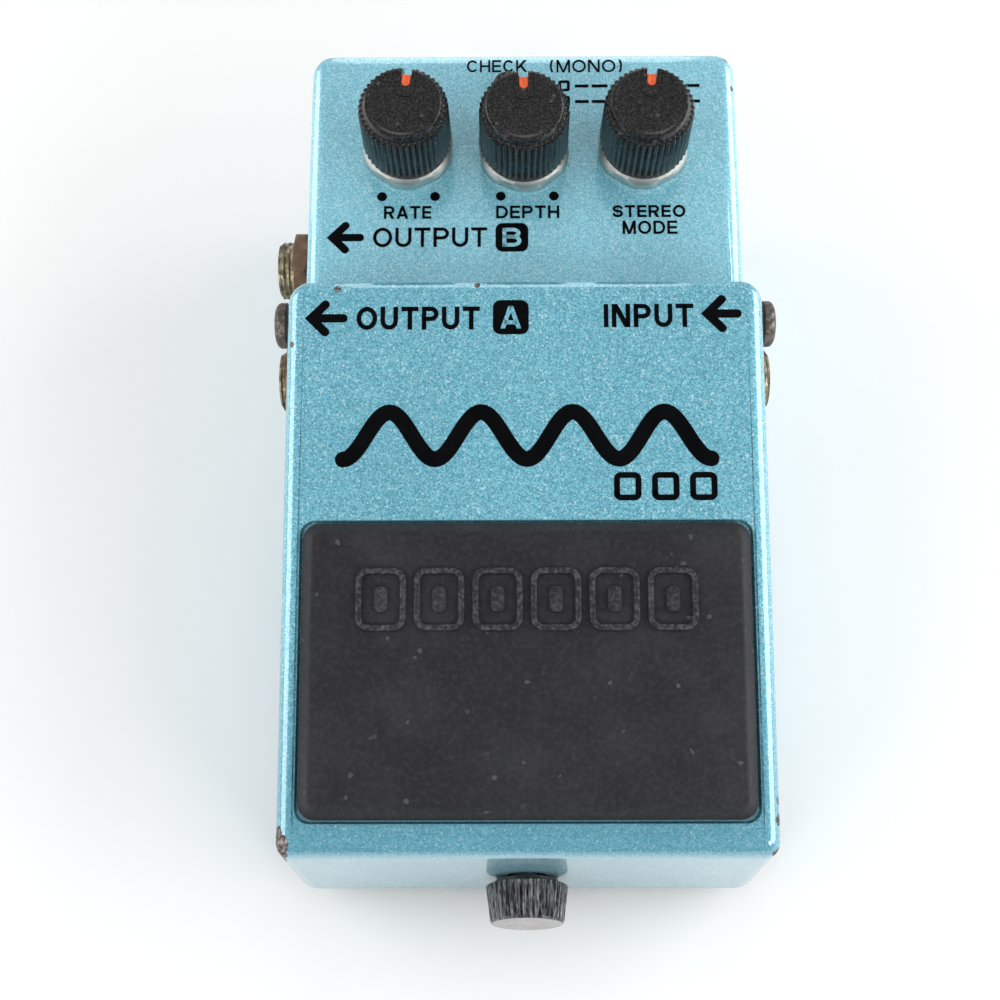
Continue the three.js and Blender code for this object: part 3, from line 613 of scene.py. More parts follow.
RED_LENS = lens_material()


def circuit_material():
    """Green resin board, with solder specks and dark components above it."""
    s = Shader("circuit")
    top = box("circuit_board")[0].z + 1.65
    above = s.step(s.axis(2), top * MM, (top + 0.1) * MM)
    green = s.mix(s.noise(1.5), (0.045, 0.13, 0.04), (0.08, 0.20, 0.06))
    solder = s.step(s.chance(1.8), 0.93, 0.95)
    green = s.mix(solder, green, (0.5, 0.5, 0.47))
    s.set(
        Base_Color=s.mix(above, green, s.mix(s.noise(3), (0.02, 0.02, 0.03), (0.06, 0.08, 0.12))),
        Metallic=s.times(solder, 0.6),
        Roughness=s.patches(2, 0.3, 0.7, 0.3, 0.5),
        Normal=s.bump(s.noise(0.8), 0.02),
    )
    return s.material


def foam_material():
    """Open-celled foam."""
    s = Shader("grey_foam")
    pores = s.cells(0.7, output="Distance")
    s.set(
        Base_Color=s.mix(pores, (0.09, 0.09, 0.10), (0.025, 0.025, 0.028)),
        Roughness=s.patches(3, 0.2, 0.8, 0.85, 0.97),
        Normal=s.bump(pores, 0.12),
    )
    return s.material


CIRCUIT = circuit_material()
FOAM = foam_material()
BATTERY = metal("battery_can", (0.05, 0.06, 0.08), (0.30, 0.27, 0.22), amount=0.1, gloss=0.3)
RED_WIRE = plastic("red_wire", (0.36, 0.02, 0.015), gloss=0.4)
BLACK_WIRE = plastic("black_wire", (0.012, 0.012, 0.012), gloss=0.4)


# ---------- treadle ----------
SKIRT = {"wall": 2.4, "plate": 3.0, "rise_from": -6.0, "rise_to": 9.5, "ear": 34.2, "lip": 40.6}
LIP_HALF_WIDTH = 24.2
TREADLE_CORNERS = (2.2, 2.2, CORNER_RADIUS, CORNER_RADIUS)
LOW_CORNERS = (3.7, 3.7, CORNER_RADIUS, CORNER_RADIUS)
LOWER_EDGE = ((2.4, 0.4), (2.28, 0.12), (2.0, 0), (0.4, 0), (0.12, 0.12), (0, 0.4))
RECESS = {"x": 32.0, "front": 4.3, "rear": 46.3, "depth": 1.0, "corner": 2.0}
PIN_HOLE = {"radius": 2.9, "middle": 34, "half_length": 3}
SCREW_SLOT = {"half_width": 2.9, "rise": 5, "corner": 2.8}


def treadle_under(y):
    return treadle_z(y) - SKIRT["plate"] / math.cos(TREADLE_SLOPE)


def hem(x, y):
    """The height of the treadle's lower edge at a point of its outline."""
    if y > TREADLE_HIGH.y - 0.01 and abs(x) < TREADLE_HIGH.x - CORNER_RADIUS - 0.02:
        return SKIRT["lip"] if abs(x) < LIP_HALF_WIDTH else treadle_under(y - SKIRT["wall"]) - 0.45
    rise = (y - SKIRT["rise_from"]) / (SKIRT["rise_to"] - SKIRT["rise_from"])
    return TREADLE_LOW.z + min(max(rise, 0), 1) * (SKIRT["ear"] - TREADLE_LOW.z)


def treadle_outline(inset, corners=TREADLE_CORNERS):
    """The treadle's outline from above, with points wherever its lower edge bends."""
    low, high = TREADLE_LOW, TREADLE_HIGH
    bends = (LIP_HALF_WIDTH, LIP_HALF_WIDTH - 0.05, high.x - CORNER_RADIUS - 0.05)
    return rounded_rectangle(
        low.x, low.y, high.x, high.y, corners, inset, steps=8,
        side_stops=(-30, SKIRT["rise_from"], 2, SKIRT["rise_to"], 14),
        rear_stops=[side * x for side in (-1, 1) for x in bends],
    )


def recess_rings():
    """The recess for the foot pad, from its rim down to its floor."""
    x, front, rear, depth = (RECESS[key] for key in ("x", "front", "rear", "depth"))
    profile = ((-0.45, 0), (-0.25, 0), (-0.07, -0.07), (0, -0.25), (0, 0.2 - depth), (0.2, -depth))
    return stacked(
        (-x, front, x, rear), RECESS["corner"], profile, 8, ON_TREADLE,
        side_stops=[front + (rear - front) * k / 6 for k in range(1, 6)],
        rear_stops=[x * (k / 3.5 - 1) for k in range(1, 7)],
    )


def make_treadle():
    hems = [hem(x, y) for x, y in treadle_outline(0, LOW_CORNERS)]
    rings = [[(x, y, treadle_under(y)) for x, y in treadle_outline(SKIRT["wall"])]]
    for inset, lift in LOWER_EDGE:
        points = treadle_outline(inset, LOW_CORNERS)
        rings.append([(x, y, height + lift) for (x, y), height in zip(points, hems)])
    for inset, drop in rounding(EDGE_RADIUS) + [(EDGE_RADIUS + 0.25, 0)]:
        rings.append([(x, y, treadle_z(y) - drop) for x, y in treadle_outline(inset)])
    made = loose_object(loft(rings + recess_rings()))

    holes = []
    for side in (-1, 1):
        ends = [side * PIN_HOLE["middle"] + end * PIN_HOLE["half_length"] for end in (-1, 1)]
        hole = [(PIN_HOLE["radius"], end) for end in ends]
        holes.append(loose_object(revolved(hole, 32, out_of_side(1, PIVOT.y, PIVOT.z))))
    screw_low, screw_high = box("thumbscrew_shank")
    height, half = (screw_low.z + screw_high.z) / 2, SCREW_SLOT["half_width"]
    top = height + SCREW_SLOT["rise"]
    slot = rounded_rectangle(-half, height - half, half, top, SCREW_SLOT["corner"])
    holes.append(loose_object(prism(slot, TREADLE_LOW.y - 1, TREADLE_LOW.y + 4, ALONG_Y)))
    carve(made, holes)
    present(made, "treadle_casting", "treadle", TREADLE_PAINT, "treadle_plate")
    flatten(made)


make_treadle()


# ---------- foot pad ----------
PAD = {"x": 31.6, "front": 4.75, "rear": 45.9, "top": 1.6, "corner": 2.4}
PAD_PROFILE = ((0.1, -0.7), (0, -0.6), (0, 0.10), (0.10, 0.32), (1.12, 1.34), (1.30, 1.48),
               (1.55, 1.57), (1.9, PAD["top"]))
GRIPS = {"count": 6, "half_width": 24.4, "front": 30.4, "rear": 39.4, "gap": 0.9, "rise": 0.5,
         "bar_inset": 2.5}


def grip(x0, x1, inset, corner, steps, profile, loop=False):
    """A raised mark on the pad. profile holds (inset, height) pairs, in grips' rises."""
    area = (x0 + inset, GRIPS["front"] + inset, x1 - inset, GRIPS["rear"] - inset)
    heights = [(inward, PAD["top"] + GRIPS["rise"] * lift) for inward, lift in profile]
    return loose_object(loft(stacked(area, corner, heights, steps, ON_TREADLE), loop))


def make_pad():
    """The pad, with a row of raised frames that have a low bar in each."""
    area = (-PAD["x"], PAD["front"], PAD["x"], PAD["rear"])
    made = loose_object(loft(stacked(area, PAD["corner"], PAD_PROFILE, 8, ON_TREADLE)))
    pitch = 2 * GRIPS["half_width"] / GRIPS["count"]
    frame_profile = ((0, -0.4), (0.14, 1), (0.34, 1.12), (0.72, 1.12), (0.92, 1), (1.06, -0.4))
    bar_profile = ((0, -0.4), (0.18, 0.8), (0.4, 0.9))
    raised = []
    for k in range(GRIPS["count"]):
        x0 = -GRIPS["half_width"] + pitch * k + GRIPS["gap"] / 2
        x1 = x0 + pitch - GRIPS["gap"]
        raised.append(grip(x0, x1, 0, 1.9, 5, frame_profile, loop=True))
        raised.append(grip(x0, x1, GRIPS["bar_inset"], 0.9, 4, bar_profile))
    carve(made, raised, "UNION")
    present(made, "foot_pad", "treadle", PAD_RUBBER, "rubber_pad")


make_pad()


# ---------- case ----------
def make_case():
    """The CAD casting, cut back to an envelope whose panel and rear edges are rounded."""
    low, high = CASE_LOW, CASE_HIGH
    joint_y, skin, square = 22.6, 0.01, 0.02
    area = (low.x + skin, joint_y, high.x - skin, high.y - skin)
    corners = (square, square, CORNER_RADIUS, CORNER_RADIUS)

    def ring(inset, height):
        outline = rounded_rectangle(*area, corners, inset, steps=8)
        return [(x, max(y, joint_y), height(y)) for x, y in outline]

    rings = [
        ring(inset, lambda y: low.z + skin + lift)
        for inset, lift in ((0.5, 0), (0.15, 0.15), (0, 0.5))
    ]
    rings += [
        ring(inset, lambda y: panel_z(y) - skin - drop)
        for inset, drop in rounding(EDGE_RADIUS) + [(EDGE_RADIUS + 0.3, 0)]
    ]
    envelope = loose_object(loft(rings))
    side, top = high.x + 6.5, high.z + 12
    front = rounded_rectangle(-side, low.y - 5, side, joint_y, square, steps=1)
    carve(envelope, [loose_object(prism(front, -1, top))], "UNION")

    made = linked("case", frame["nodes"]["case_shell"].data.copy())
    carve(made, [envelope], "INTERSECT")
    present(made, "case_casting", "case", CASE_PAINT, "case_shell")
    flatten(made)


make_case()


# ---------- knobs ----------
KNOB = {"bottom": 2.8, "shoulder": 12.75, "top": 14.1, "low_r": 6.85, "high_r": 6.75, "cap_r": 5.9}
FLUTES = {"count": 44, "depth": 0.42}
NOTCH = {"half_width": 0.74, "inner": 2.8, "outer": 4.85, "floor": 12.35, "outer_floor": 8.3}
BOSS = {"half_width": 1.56, "line": 0.14, "centre": 2.45, "depth": 0.3}
PANEL_NUT = {"radius": 7.1, "across_flats": 13.6, "bore": 4.8, "foot": 0.3, "top": 2.2}
# How far each knob and its panel nut are turned on the panel, in radians.
CONTROL_TURNS = {"rate": (-0.122, -0.08), "depth": (0.026, 0.14), "mode": (-0.078, -0.03)}


def fluted(count, depth, inner):
    """A ring shape with rounded flutes, wherever the radius is more than inner."""

    def shape(radius, height, turn):
        if radius <= inner:
            return radius
        wave = 0.5 - 0.5 * math.cos(count * turn)
        return radius - depth * (1 - wave**0.7)

    return shape


def control_place(name, turned):
    """The plane of a control: on the panel, at the control's axis, turned about it."""
    where = Vector(JOINTS[f"{name}_turn"]["pos_m"]) / MM
    on_panel = Matrix.Translation(where) @ Matrix.Rotation(PANEL_SLOPE, 4, "X")
    return on_panel @ Matrix.Rotation(turned, 4, "Z")


def make_knob():
    """A fluted knob, with a notch for its pointer and an outline engraved on top."""
    bottom, shoulder, top, foot, side, cap = KNOB.values()
    shaft, well = 3.3, 4.8
    profile = [
        (shaft, 11.3), (shaft, 3.9), (well, 3.9), (well, bottom), (foot - 0.6, bottom),
        (foot - 0.12, bottom + 0.06), (foot, bottom + 0.3), (side - 0.02, shoulder - 0.6),
        (side - 0.06, shoulder - 0.25), (side - 0.22, shoulder - 0.04), (cap + 0.20, shoulder + 0.02),
        (cap + 0.04, shoulder + 0.10), (cap, shoulder + 0.25), (cap - 0.02, top - 0.55),
        (cap - 0.16, top - 0.22), (cap - 0.42, top - 0.04), (cap - 0.62, top),
        (cap - 0.80, top - 0.05), (cap - 0.95, top - 0.14), (cap - 1.2, top - 0.17),
    ]
    shape = fluted(FLUTES["count"], FLUTES["depth"], cap + 0.22)
    off_grid = Matrix.Rotation(0.003, 4, "Z")
    knob = loose_object(revolved(profile, FLUTES["count"] * 8, off_grid, shape))

    half, inner, outer = NOTCH["half_width"], NOTCH["inner"], NOTCH["outer"]
    beyond, square, off_face = foot + 2, 0.02, 0.003
    slot = rounded_rectangle(-half, inner, half, beyond, (0.7, 0.7, square, square))
    wider = half + off_face
    notch = rounded_rectangle(-wider, outer, wider, beyond + 0.1, square)
    wide = BOSS["half_width"]
    narrow = wide - BOSS["line"]
    sweep = []
    for reach, height in ((wide, -BOSS["depth"]), (wide, 1), (narrow, 1), (narrow, -BOSS["depth"])):
        area = (-reach, BOSS["centre"] - reach, reach, 12 + reach)
        sweep += stacked(area, (reach, reach, square, square), [(0, top + height)], 8)
    for tool in (
        prism(slot, NOTCH["floor"], top + 1),
        prism(notch, NOTCH["outer_floor"], top - 0.5),
        loft(sweep, loop=True),
    ):
        carve(knob, [loose_object(tool)])
    return knob


def make_pointer():
    """The painted pointer that lies in a knob's notch, with a groove along it."""
    inner, top = NOTCH["inner"], KNOB["top"]
    reach = NOTCH["half_width"] - 0.05
    area = (-reach, inner + 0.08, reach, NOTCH["outer"])
    corners = (reach - 0.02, reach - 0.02, 0.1, 0.1)
    profile = ((0, NOTCH["floor"] + 0.02), (0, top - 0.42), (0.08, top - 0.36))
    pointer = loose_object(loft(stacked(area, corners, profile, 6)))
    groove = [(0.1, inner + 0.2), (0.5, inner + 0.7), (0.5, KNOB["low_r"] + 0.15)]
    above = Matrix.Translation((0, 0, top - 0.1)) @ ALONG_Y
    carve(pointer, [loose_object(revolved(groove, 24, above))])
    return pointer


def hexagonal(across_flats, turned=0.0):
    """A ring shape that cuts a cone or a cylinder down to a hexagon."""

    def shape(radius, height, turn):
        sector = (turn - turned + math.pi / 6) % (math.pi / 3) - math.pi / 6
        return min(radius, across_flats / 2 / math.cos(sector))

    return shape


def make_panel_nut(name, turned):
    widest, bore, foot, top = (PANEL_NUT[key] for key in ("radius", "bore", "foot", "top"))
    outer = [(widest, foot), (widest, top - 0.9), (widest - 0.24, top - 0.4), (widest - 0.6, top)]
    inner = [(bore + 0.2, top + 0.1), (bore, top), (bore, foot)]
    shape = hexagonal(PANEL_NUT["across_flats"])
    made = loose_object(tube(outer, inner, 96, control_place(name, turned), shape))
    present(made, f"{name}_panel_nut", "case", ZINC, f"{name}_nut")


def make_controls():
    knob_mould, pointer_mould = make_knob(), make_pointer()
    for name, (knob_turn, _) in CONTROL_TURNS.items():
        place = control_place(name, knob_turn)
        place.translation *= MM
        for mould, piece, material, node in (
            (knob_mould, "control_knob", KNOB_PLASTIC, "knob"),
            (pointer_mould, "pointer", ORANGE, "index"),
        ):
            made = linked(piece, mould.data.copy())
            made.data.transform(place)
            present(made, f"{name}_{piece}", f"{name}_control", material, f"{name}_{node}")
    for mould in (knob_mould, pointer_mould):
        bpy.data.objects.remove(mould)
    for name, (_, nut_turn) in CONTROL_TURNS.items():
        make_panel_nut(name, nut_turn)


make_controls()


# ---------- jacks ----------
JACK = {"collar": 4.7, "bore": 3.3, "pitch": 0.8, "thread": 0.24, "turns": 9, "past_washer": -4.4}
JACK_WASHER = {"radius": 7.0, "bore": 5.0}
JACK_NUT = {"radius": 6.8, "across_flats": 11.9, "bore": 5.0}


def threaded(pitch, depth, start):
    """A ring shape with a screw thread, beyond a height."""

    def shape(radius, height, turn):
        if height < start:
            return radius
        phase = (height / pitch - turn / math.tau) % 1
        return radius - depth * abs(2 * phase - 1)

    return shape


def make_socket(name, place, low, high):
    """A jack's square body and its threaded collar, which stands out of the case."""
    inner, tip = side_span(f"{name}_jack")
    face = side_span(f"{name}_washer")[0] + JACK["past_washer"]
    collar, bore, steps = JACK["collar"], JACK["bore"], JACK["turns"] * 4
    outer = [(collar - 0.35, face - 1), (collar, face)]
    outer += [(collar, face + (tip - 0.35 - face) * k / steps) for k in range(1, steps + 1)]
    outer += [(collar - 0.25, tip - 0.28), (collar - 0.4, tip)]
    hole = [(bore + 0.3, tip), (bore + 0.02, tip - 0.25), (bore, inner + 3), (bore, face - 1)]
    thread = threaded(JACK["pitch"], JACK["thread"], face)
    tall, wide = (high.z - low.z) / 2, (high.y - low.y) / 2
    body = rounded_rectangle(-wide, -tall, wide, tall, 0.8, steps=4)
    socket = loose_object(prism(body, inner, face - 0.6, place))
    carve(socket, [loose_object(revolved([(bore, inner + 3), (bore, face + 1)], 48, place))])
    carve(socket, [loose_object(tube(outer, hole, 48, place, thread))], "UNION")
    present(socket, f"{name}_socket", "case", BRASS, f"{name}_jack")


def make_jack(name, side, nut_turn):
    low, high = box(f"{name}_jack")
    middle = (low + high) / 2
    place = out_of_side(side, middle.y, middle.z)
    make_socket(name, place, low, high)

    inside, outside = side_span(f"{name}_washer")
    rim, bore = JACK_WASHER["radius"], JACK_WASHER["bore"]
    ring = [(rim - 0.3, inside), (rim, inside + 0.15), (rim, outside - 0.15), (rim - 0.3, outside)]
    washer = loose_object(tube(ring, [(bore, outside), (bore, inside)], 64, place))
    present(washer, f"{name}_flat_washer", "case", RUSTED, f"{name}_washer")

    inside, outside = side_span(f"{name}_nut")
    rim, bore = JACK_NUT["radius"], JACK_NUT["bore"]
    ring = [(rim - 0.4, inside), (rim, inside + 0.4), (rim, outside - 0.4),
            (rim - 0.4, outside - 0.1), (rim - 0.8, outside)]
    hole = [(bore + 0.3, outside), (bore, outside - 0.3), (bore, inside)]
    shape = hexagonal(JACK_NUT["across_flats"], side * nut_turn)
    nut = loose_object(tube(ring, hole, 96, place, shape))
    present(nut, f"{name}_jack_nut", "case", RUSTED, f"{name}_nut")


for jack, direction, jack_nut_turn in (
    ("output_a", -1, 0.5), ("output_b", -1, 0.6), ("input", 1, 0.45)
):
    make_jack(jack, direction, jack_nut_turn)


# ---------- hinge ----------
HINGE = {"pin": 2.0, "head": 3.42, "bore": 2.3, "sleeve": 2.7, "flange": 3.38, "collar": 35.45,
         "flange_inner": 35.03}


def make_hinge(name, side):
    """A hinge pin with a domed head, and the nylon bush behind it."""
    place = out_of_side(side, PIVOT.y, PIVOT.z)
    pin, head, collar = HINGE["pin"], HINGE["head"], HINGE["collar"]
    inner, tip = side_span(f"hinge_pin_{name}")
    profile = [
        (pin - 0.3, inner), (pin, inner + 0.3), (pin, collar), (head - 0.12, collar),
        (head, collar + 0.12), (head, tip - 0.85), (head - 0.1, tip - 0.58), (head - 0.38, tip - 0.3),
        (head - 0.82, tip - 0.1), (pin - 0.4, tip),
    ]
    made = loose_object(revolved(profile, 64, place))
    present(made, f"{name}_hinge_pin", "case", PIN_STEEL, f"hinge_pin_{name}")

    inside, outside = side_span(f"hinge_bush_{name}")
    sleeve, flange, inner = HINGE["sleeve"], HINGE["flange"], HINGE["flange_inner"]
    ring = [(sleeve, inside), (sleeve, inner), (flange - 0.08, inner + 0.02),
            (flange, inner + 0.12), (flange, outside - 0.08), (flange - 0.08, outside)]
    bore = [(HINGE["bore"], outside), (HINGE["bore"], inside)]
    made = loose_object(tube(ring, bore, 64, place))
    present(made, f"{name}_hinge_bush", "hinge_bushes", BLACK_NYLON, f"hinge_bush_{name}")


make_hinge("left", -1)
make_hinge("right", 1)


# ---------- thumbscrew ----------
SCREW_HEAD = {"rear": 5.97, "front": 5.36, "face": 5.2, "well": 2.5, "flutes": 36, "depth": 0.36}


def make_thumbscrew():
    """A tapered, fluted head that is hollow at the rear."""
    low, high = box("thumbscrew_knob")
    middle, length = (low.z + high.z) / 2, high.y - low.y
    place = Matrix.Translation((0, high.y, middle)) @ Matrix.Rotation(math.pi / 2, 4, "X")
    rear, front, face, well, flutes, depth = SCREW_HEAD.values()
    profile = [
        (well, 3), (well, 0), (rear - 0.17, 0), (rear - 0.02, 0.08), (rear, 0.2),
        (front, length - 0.4), (face + 0.02, length - 0.35), (face, length - 0.1),
        (face - 0.1, length),
    ]
    head = loose_object(revolved(profile, flutes * 8, place, fluted(flutes, depth, face + 0.05)))
    present(head, "thumbscrew_head", "thumbscrew", WORN_PLASTIC_AND_REFLECTION, "thumbscrew_knob")


make_thumbscrew()


# ---------- spring and lamp ----------
SPRING = {"wire": 0.65, "turns": 6.5, "closed": 0.9, "steps": 36, "sides": 12}


def make_spring():
    """A coil of round wire with its end turns closed up, which the treadle squashes."""
    low, high = box("coil_spring")
    middle = (low + high) / 2
    wire, turns, closed, steps, sides = SPRING.values()
    radius = (high.x - low.x) / 2 - wire
    floor, top = low.z + wire, high.z - wire
    count = int(turns * steps)
    up = Vector((0, 0, 1))
    rings = []
    for i in range(count + 1):
        share = turns * i / count
        rise = min(max((share - closed) / (turns - 2 * closed), 0), 1)
        turn = share * math.tau
        outward = Vector((math.cos(turn), math.sin(turn), 0))
        centre = Vector((middle.x, middle.y, floor + (top - floor) * rise)) + radius * outward
        around = [math.tau * k / sides for k in range(sides)]
        rings.append([
            centre + (wire - 0.03) * (math.cos(a) * outward + math.sin(a) * up) for a in around
        ])
    spring = loose_object(loft(rings))
    present(spring, "return_spring", "case", SPRING_STEEL, "coil_spring")
    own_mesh(spring)


make_spring()


def make_lamp():
    """The check lamp's lens and its holder, in the panel behind the middle knob."""
    low, high = box("check_lamp")
    holder_low, holder_high = box("lamp_holder")
    setback = (CASE_HIGH.y - (low.y + high.y) / 2) / math.cos(PANEL_SLOPE)
    place = ON_PANEL @ Matrix.Translation(((holder_low.x + holder_high.x) / 2, -setback, 0))
    wide, rise, foot, flange = 1.5, 1.3, 0.9, 1.9
    lens = [(flange, -6), (flange, -5), (wide, -5), (wide, foot)]
    lens += [
        (wide * math.cos(a), foot + rise * math.sin(a)) for a in (0.2, 0.45, 0.7, 0.95, 1.2, 1.4)
    ]
    made = loose_object(revolved(lens, 48, place))
    present(made, "check_lamp_lens", "case", RED_LENS, "check_lamp")
    barrel, bezel, bore = 2.0, 2.3, 1.75
    outer = [(barrel, -4.4), (barrel, 0.3), (bezel - 0.06, 0.3), (bezel, 0.4), (bezel - 0.02, 0.7),
             (bezel - 0.15, 0.86), (bezel - 0.3, foot)]
    inner = [(bore + 0.1, foot), (bore, 0.78), (bore, -4.4)]
    ring = loose_object(tube(outer, inner, 48, place))
    present(ring, "check_lamp_bezel", "case", BLACK_NYLON, "lamp_holder")


make_lamp()


# ---------- battery and foam ----------
BATTERY_STUDS = {"length": 2.0, "spacing": 13, "radii": (2.8, 2.4)}


def make_battery():
    """A 9 V block: a sleeve with rolled rims, and end plates set back in it."""
    low, high = box("battery")
    start, end = low.x, high.x - BATTERY_STUDS["length"]
    profile = (
        (start + 0.5, 0.9), (start + 0.5, 0.5), (start + 0.2, 0.35), (start, 0.25), (start, 0.1),
        (start + 0.15, 0), (end - 0.15, 0), (end, 0.1), (end, 0.3), (end - 0.2, 0.4),
        (end - 0.4, 0.5), (end - 0.4, 0.9),
    )
    rings = []
    for x, inset in profile:
        ring = rounded_rectangle(low.y, low.z, high.y, high.z, 1.7, inset, 6)
        rings.append([(x, y, z) for y, z in ring])
    can = loose_object(loft(rings))
    middle = (low + high) / 2
    studs = []
    for side, radius in zip((-0.5, 0.5), BATTERY_STUDS["radii"]):
        place = out_of_side(1, middle.y + side * BATTERY_STUDS["spacing"], middle.z)
        outer = [(radius, end - 0.6), (radius, end + 0.1), (radius - 0.35, end + 0.4),
                 (radius - 0.35, end + 1.5), (radius - 0.15, high.x)]
        inner = [(radius - 0.6, high.x), (radius - 0.7, end + 0.3), (radius - 0.7, end - 0.6)]
        studs.append(loose_object(tube(outer, inner, 24, place)))
    carve(can, studs, "UNION")
    present(can, "nine_volt_battery", "case", BATTERY, "battery")


FOAM_SIDES = ((0, 0.5), (0.04, 0.12), (0.25, 0), (0.5, 0.12), (0.75, 0), (0.96, 0.12), (1, 0.5))


def foam_block(node, name):
    """A cut block of foam whose sides pull in a little under load."""
    low, high = box(node)
    profile = [(inset, low.z + (high.z - low.z) * share) for share, inset in FOAM_SIDES]
    made = loose_object(loft(stacked((low.x, low.y, high.x, high.y), 1.2, profile, 4)))
    present(made, name, "case", FOAM, node)


make_battery()
foam_block("battery_foam", "battery_cushion")
foam_block("board_foam", "board_cushion")


# ---------- carried-over CAD nodes ----------
def dress(material, *nodes):
    """Gives CAD nodes whose shape is right a better material and softer edges."""
    for node in nodes:
        part = frame["nodes"][node]
        part.data.materials.clear()
        part.data.materials.append(material)
        part.data.shade_flat()
        edges = part.modifiers.new("edges", "BEVEL")
        edges.width = 0.12 * MM
        edges.segments = 2
        edges.limit_method = "ANGLE"
        edges.angle_limit = SHARP_EDGE


dress(PLATE, "bottom_plate", "base_screw_1", "base_screw_2", "base_screw_3", "base_screw_4")
dress(MAT_RUBBER, "base_mat", "switch_pusher")
dress(CIRCUIT, "circuit_board")
dress(STEEL, "thumbscrew_shank", "guide_bush", "rate_shaft", "depth_shaft", "mode_shaft")
dress(STEEL, "footswitch_body")
dress(ZINC, "rate_pot", "depth_pot", "mode_switch")
dress(BLACK_NYLON, "power_socket", "battery_snap", "spring_base", "thumbscrew_washer")
dress(WHITE_NYLON, "footswitch_plunger")
dress(RED_WIRE, "battery_lead_red")
dress(BLACK_WIRE, "battery_lead_black")


# ---------- legends ----------
# A mark's place is in millimetres on its plane: X from the middle, and Y up the slope.
INK_RISE = 0.035
INK_FOOT = -0.05


def patch(outline, lift=0.0):
    """A thin raised patch of ink over a closed outline, in its plane's own X and Y."""
    return loose_object(prism(outline, INK_FOOT, INK_RISE + lift))


def stroke(points, width, rounded=False, lift=0.0):
    """A thick line of ink through points, whose ends reach half its width beyond them."""
    half = width / 2
    path = [Vector(point) for point in points]
    slices = []
    for i, here in enumerate(path):
        before = (here - path[i - 1]).normalized() if i else None
        after = (path[i + 1] - here).normalized() if i + 1 < len(path) else None
        heading = ((before or after) + (after or before)).normalized()
        across = Vector((-heading.y, heading.x)) * half / max(heading.dot(after or before), 0.3)
        slices.append((here, across))
    heads = []
    for (centre, across), inward in ((slices[0], path[1]), (slices[-1], path[-2])):
        out = (centre - inward).normalized()
        turns = [math.radians(15 * k) for k in range(1, 6)] if rounded else ()
        head = [(centre + out * half * math.sin(a), across * math.cos(a)) for a in turns]
        heads.append(head or [(centre + out * half, across)])
    rings = []
    for centre, across in heads[0][::-1] + slices + heads[1]:
        left, right, top = centre + across, centre - across, INK_RISE + lift
        rings.append([(*left, INK_FOOT), (*left, top), (*right, top), (*right, INK_FOOT)])
    return loose_object(loft(rings))


def arrow(x0, x1, y, half_height, width):
    """An arrow that points to the player's left, from x1 to its tip at x0."""
    reach = half_height - width / 2
    tip = x0 + width * 0.7
    head = [(tip + reach, y + reach), (tip, y), (tip + reach, y - reach)]
    shaft = [(tip + width / 2, y), (x1 - width / 2, y)]
    return [stroke(head, width, True), stroke(shaft, width, True, 0.004)]


def arc(x, y, rx, ry, start, end, steps=10):
    """Points along part of an ellipse. The angles are in degrees."""
    turns = [math.radians(start + (end - start) * k / steps) for k in range(steps + 1)]
    return [(x + rx * math.cos(turn), y + ry * math.sin(turn)) for turn in turns]


def bowl(shoulder, x, top, bottom):
    """A stroke that leaves a stem at one height and comes back to it at another."""
    reach = (top - bottom) / 2
    return [(0, top)] + arc(shoulder, top - reach, x - shoulder, reach, 90, -90) + [(0, bottom)]


# Each capital's width, the middle lines of its strokes, and its slanting strokes. They lie in a
# unit square, and a slanting stroke's ends are cut level.
STEM = [(0, 0), (0, 1)]
FAR_STEM = [(1, 0), (1, 1)]
RING = arc(0.5, 0.5, 0.5, 0.5, 90, 450, 24)
CAPITALS = {
    "A": (1.0, [[(0.24, 0.22), (0.76, 0.22)]], [((0, 0), (0.5, 1)), ((1, 0), (0.5, 1))]),
    "B": (0.88, [STEM, bowl(0.55, 0.94, 1, 0.53), bowl(0.58, 1, 0.53, 0)], []),
    "C": (0.94, [arc(0.5, 0.5, 0.5, 0.5, 48, 312, 20)], []),
    "D": (0.92, [STEM, bowl(0.45, 1, 1, 0)], []),
    "E": (0.78, [STEM, [(0, 1), (1, 1)], [(0, 0.5), (0.92, 0.5)], [(0, 0), (1, 0)]], []),
    "H": (0.88, [STEM, FAR_STEM, [(0, 0.5), (1, 0.5)]], []),
    "I": (0.22, [[(0.5, 0), (0.5, 1)]], []),
    "K": (0.94, [STEM], [((0.08, 0.32), (0.92, 1)), ((0.34, 0.62), (1, 0))]),
    "M": (1.04, [STEM, FAR_STEM], [((0, 1), (0.5, 0)), ((1, 1), (0.5, 0))]),
    "N": (0.90, [STEM, FAR_STEM], [((0, 1), (1, 0))]),
    "O": (1.04, [RING], []),
    "P": (0.84, [STEM, bowl(0.58, 1, 1, 0.46)], []),
    "R": (0.92, [STEM, bowl(0.58, 0.96, 1, 0.46)], [((0.52, 0.48), (0.96, 0))]),
    "S": (0.88, [arc(0.5, 0.76, 0.47, 0.24, 20, 270, 16) + arc(0.5, 0.26, 0.5, 0.26, 90, -160, 16)],
          []),
    "T": (0.86, [[(0, 1), (1, 1)], [(0.5, 0), (0.5, 1)]], []),
    "U": (0.88, [[(0, 1)] + arc(0.5, 0.36, 0.5, 0.36, 180, 360) + [(1, 1)]], []),
    "(": (0.34, [arc(1.9, 0.5, 1.9, 0.74, 138, 222)], []),
    ")": (0.34, [arc(-0.9, 0.5, 1.9, 0.74, 42, -42)], []),
}
LETTER_GAP = 0.17


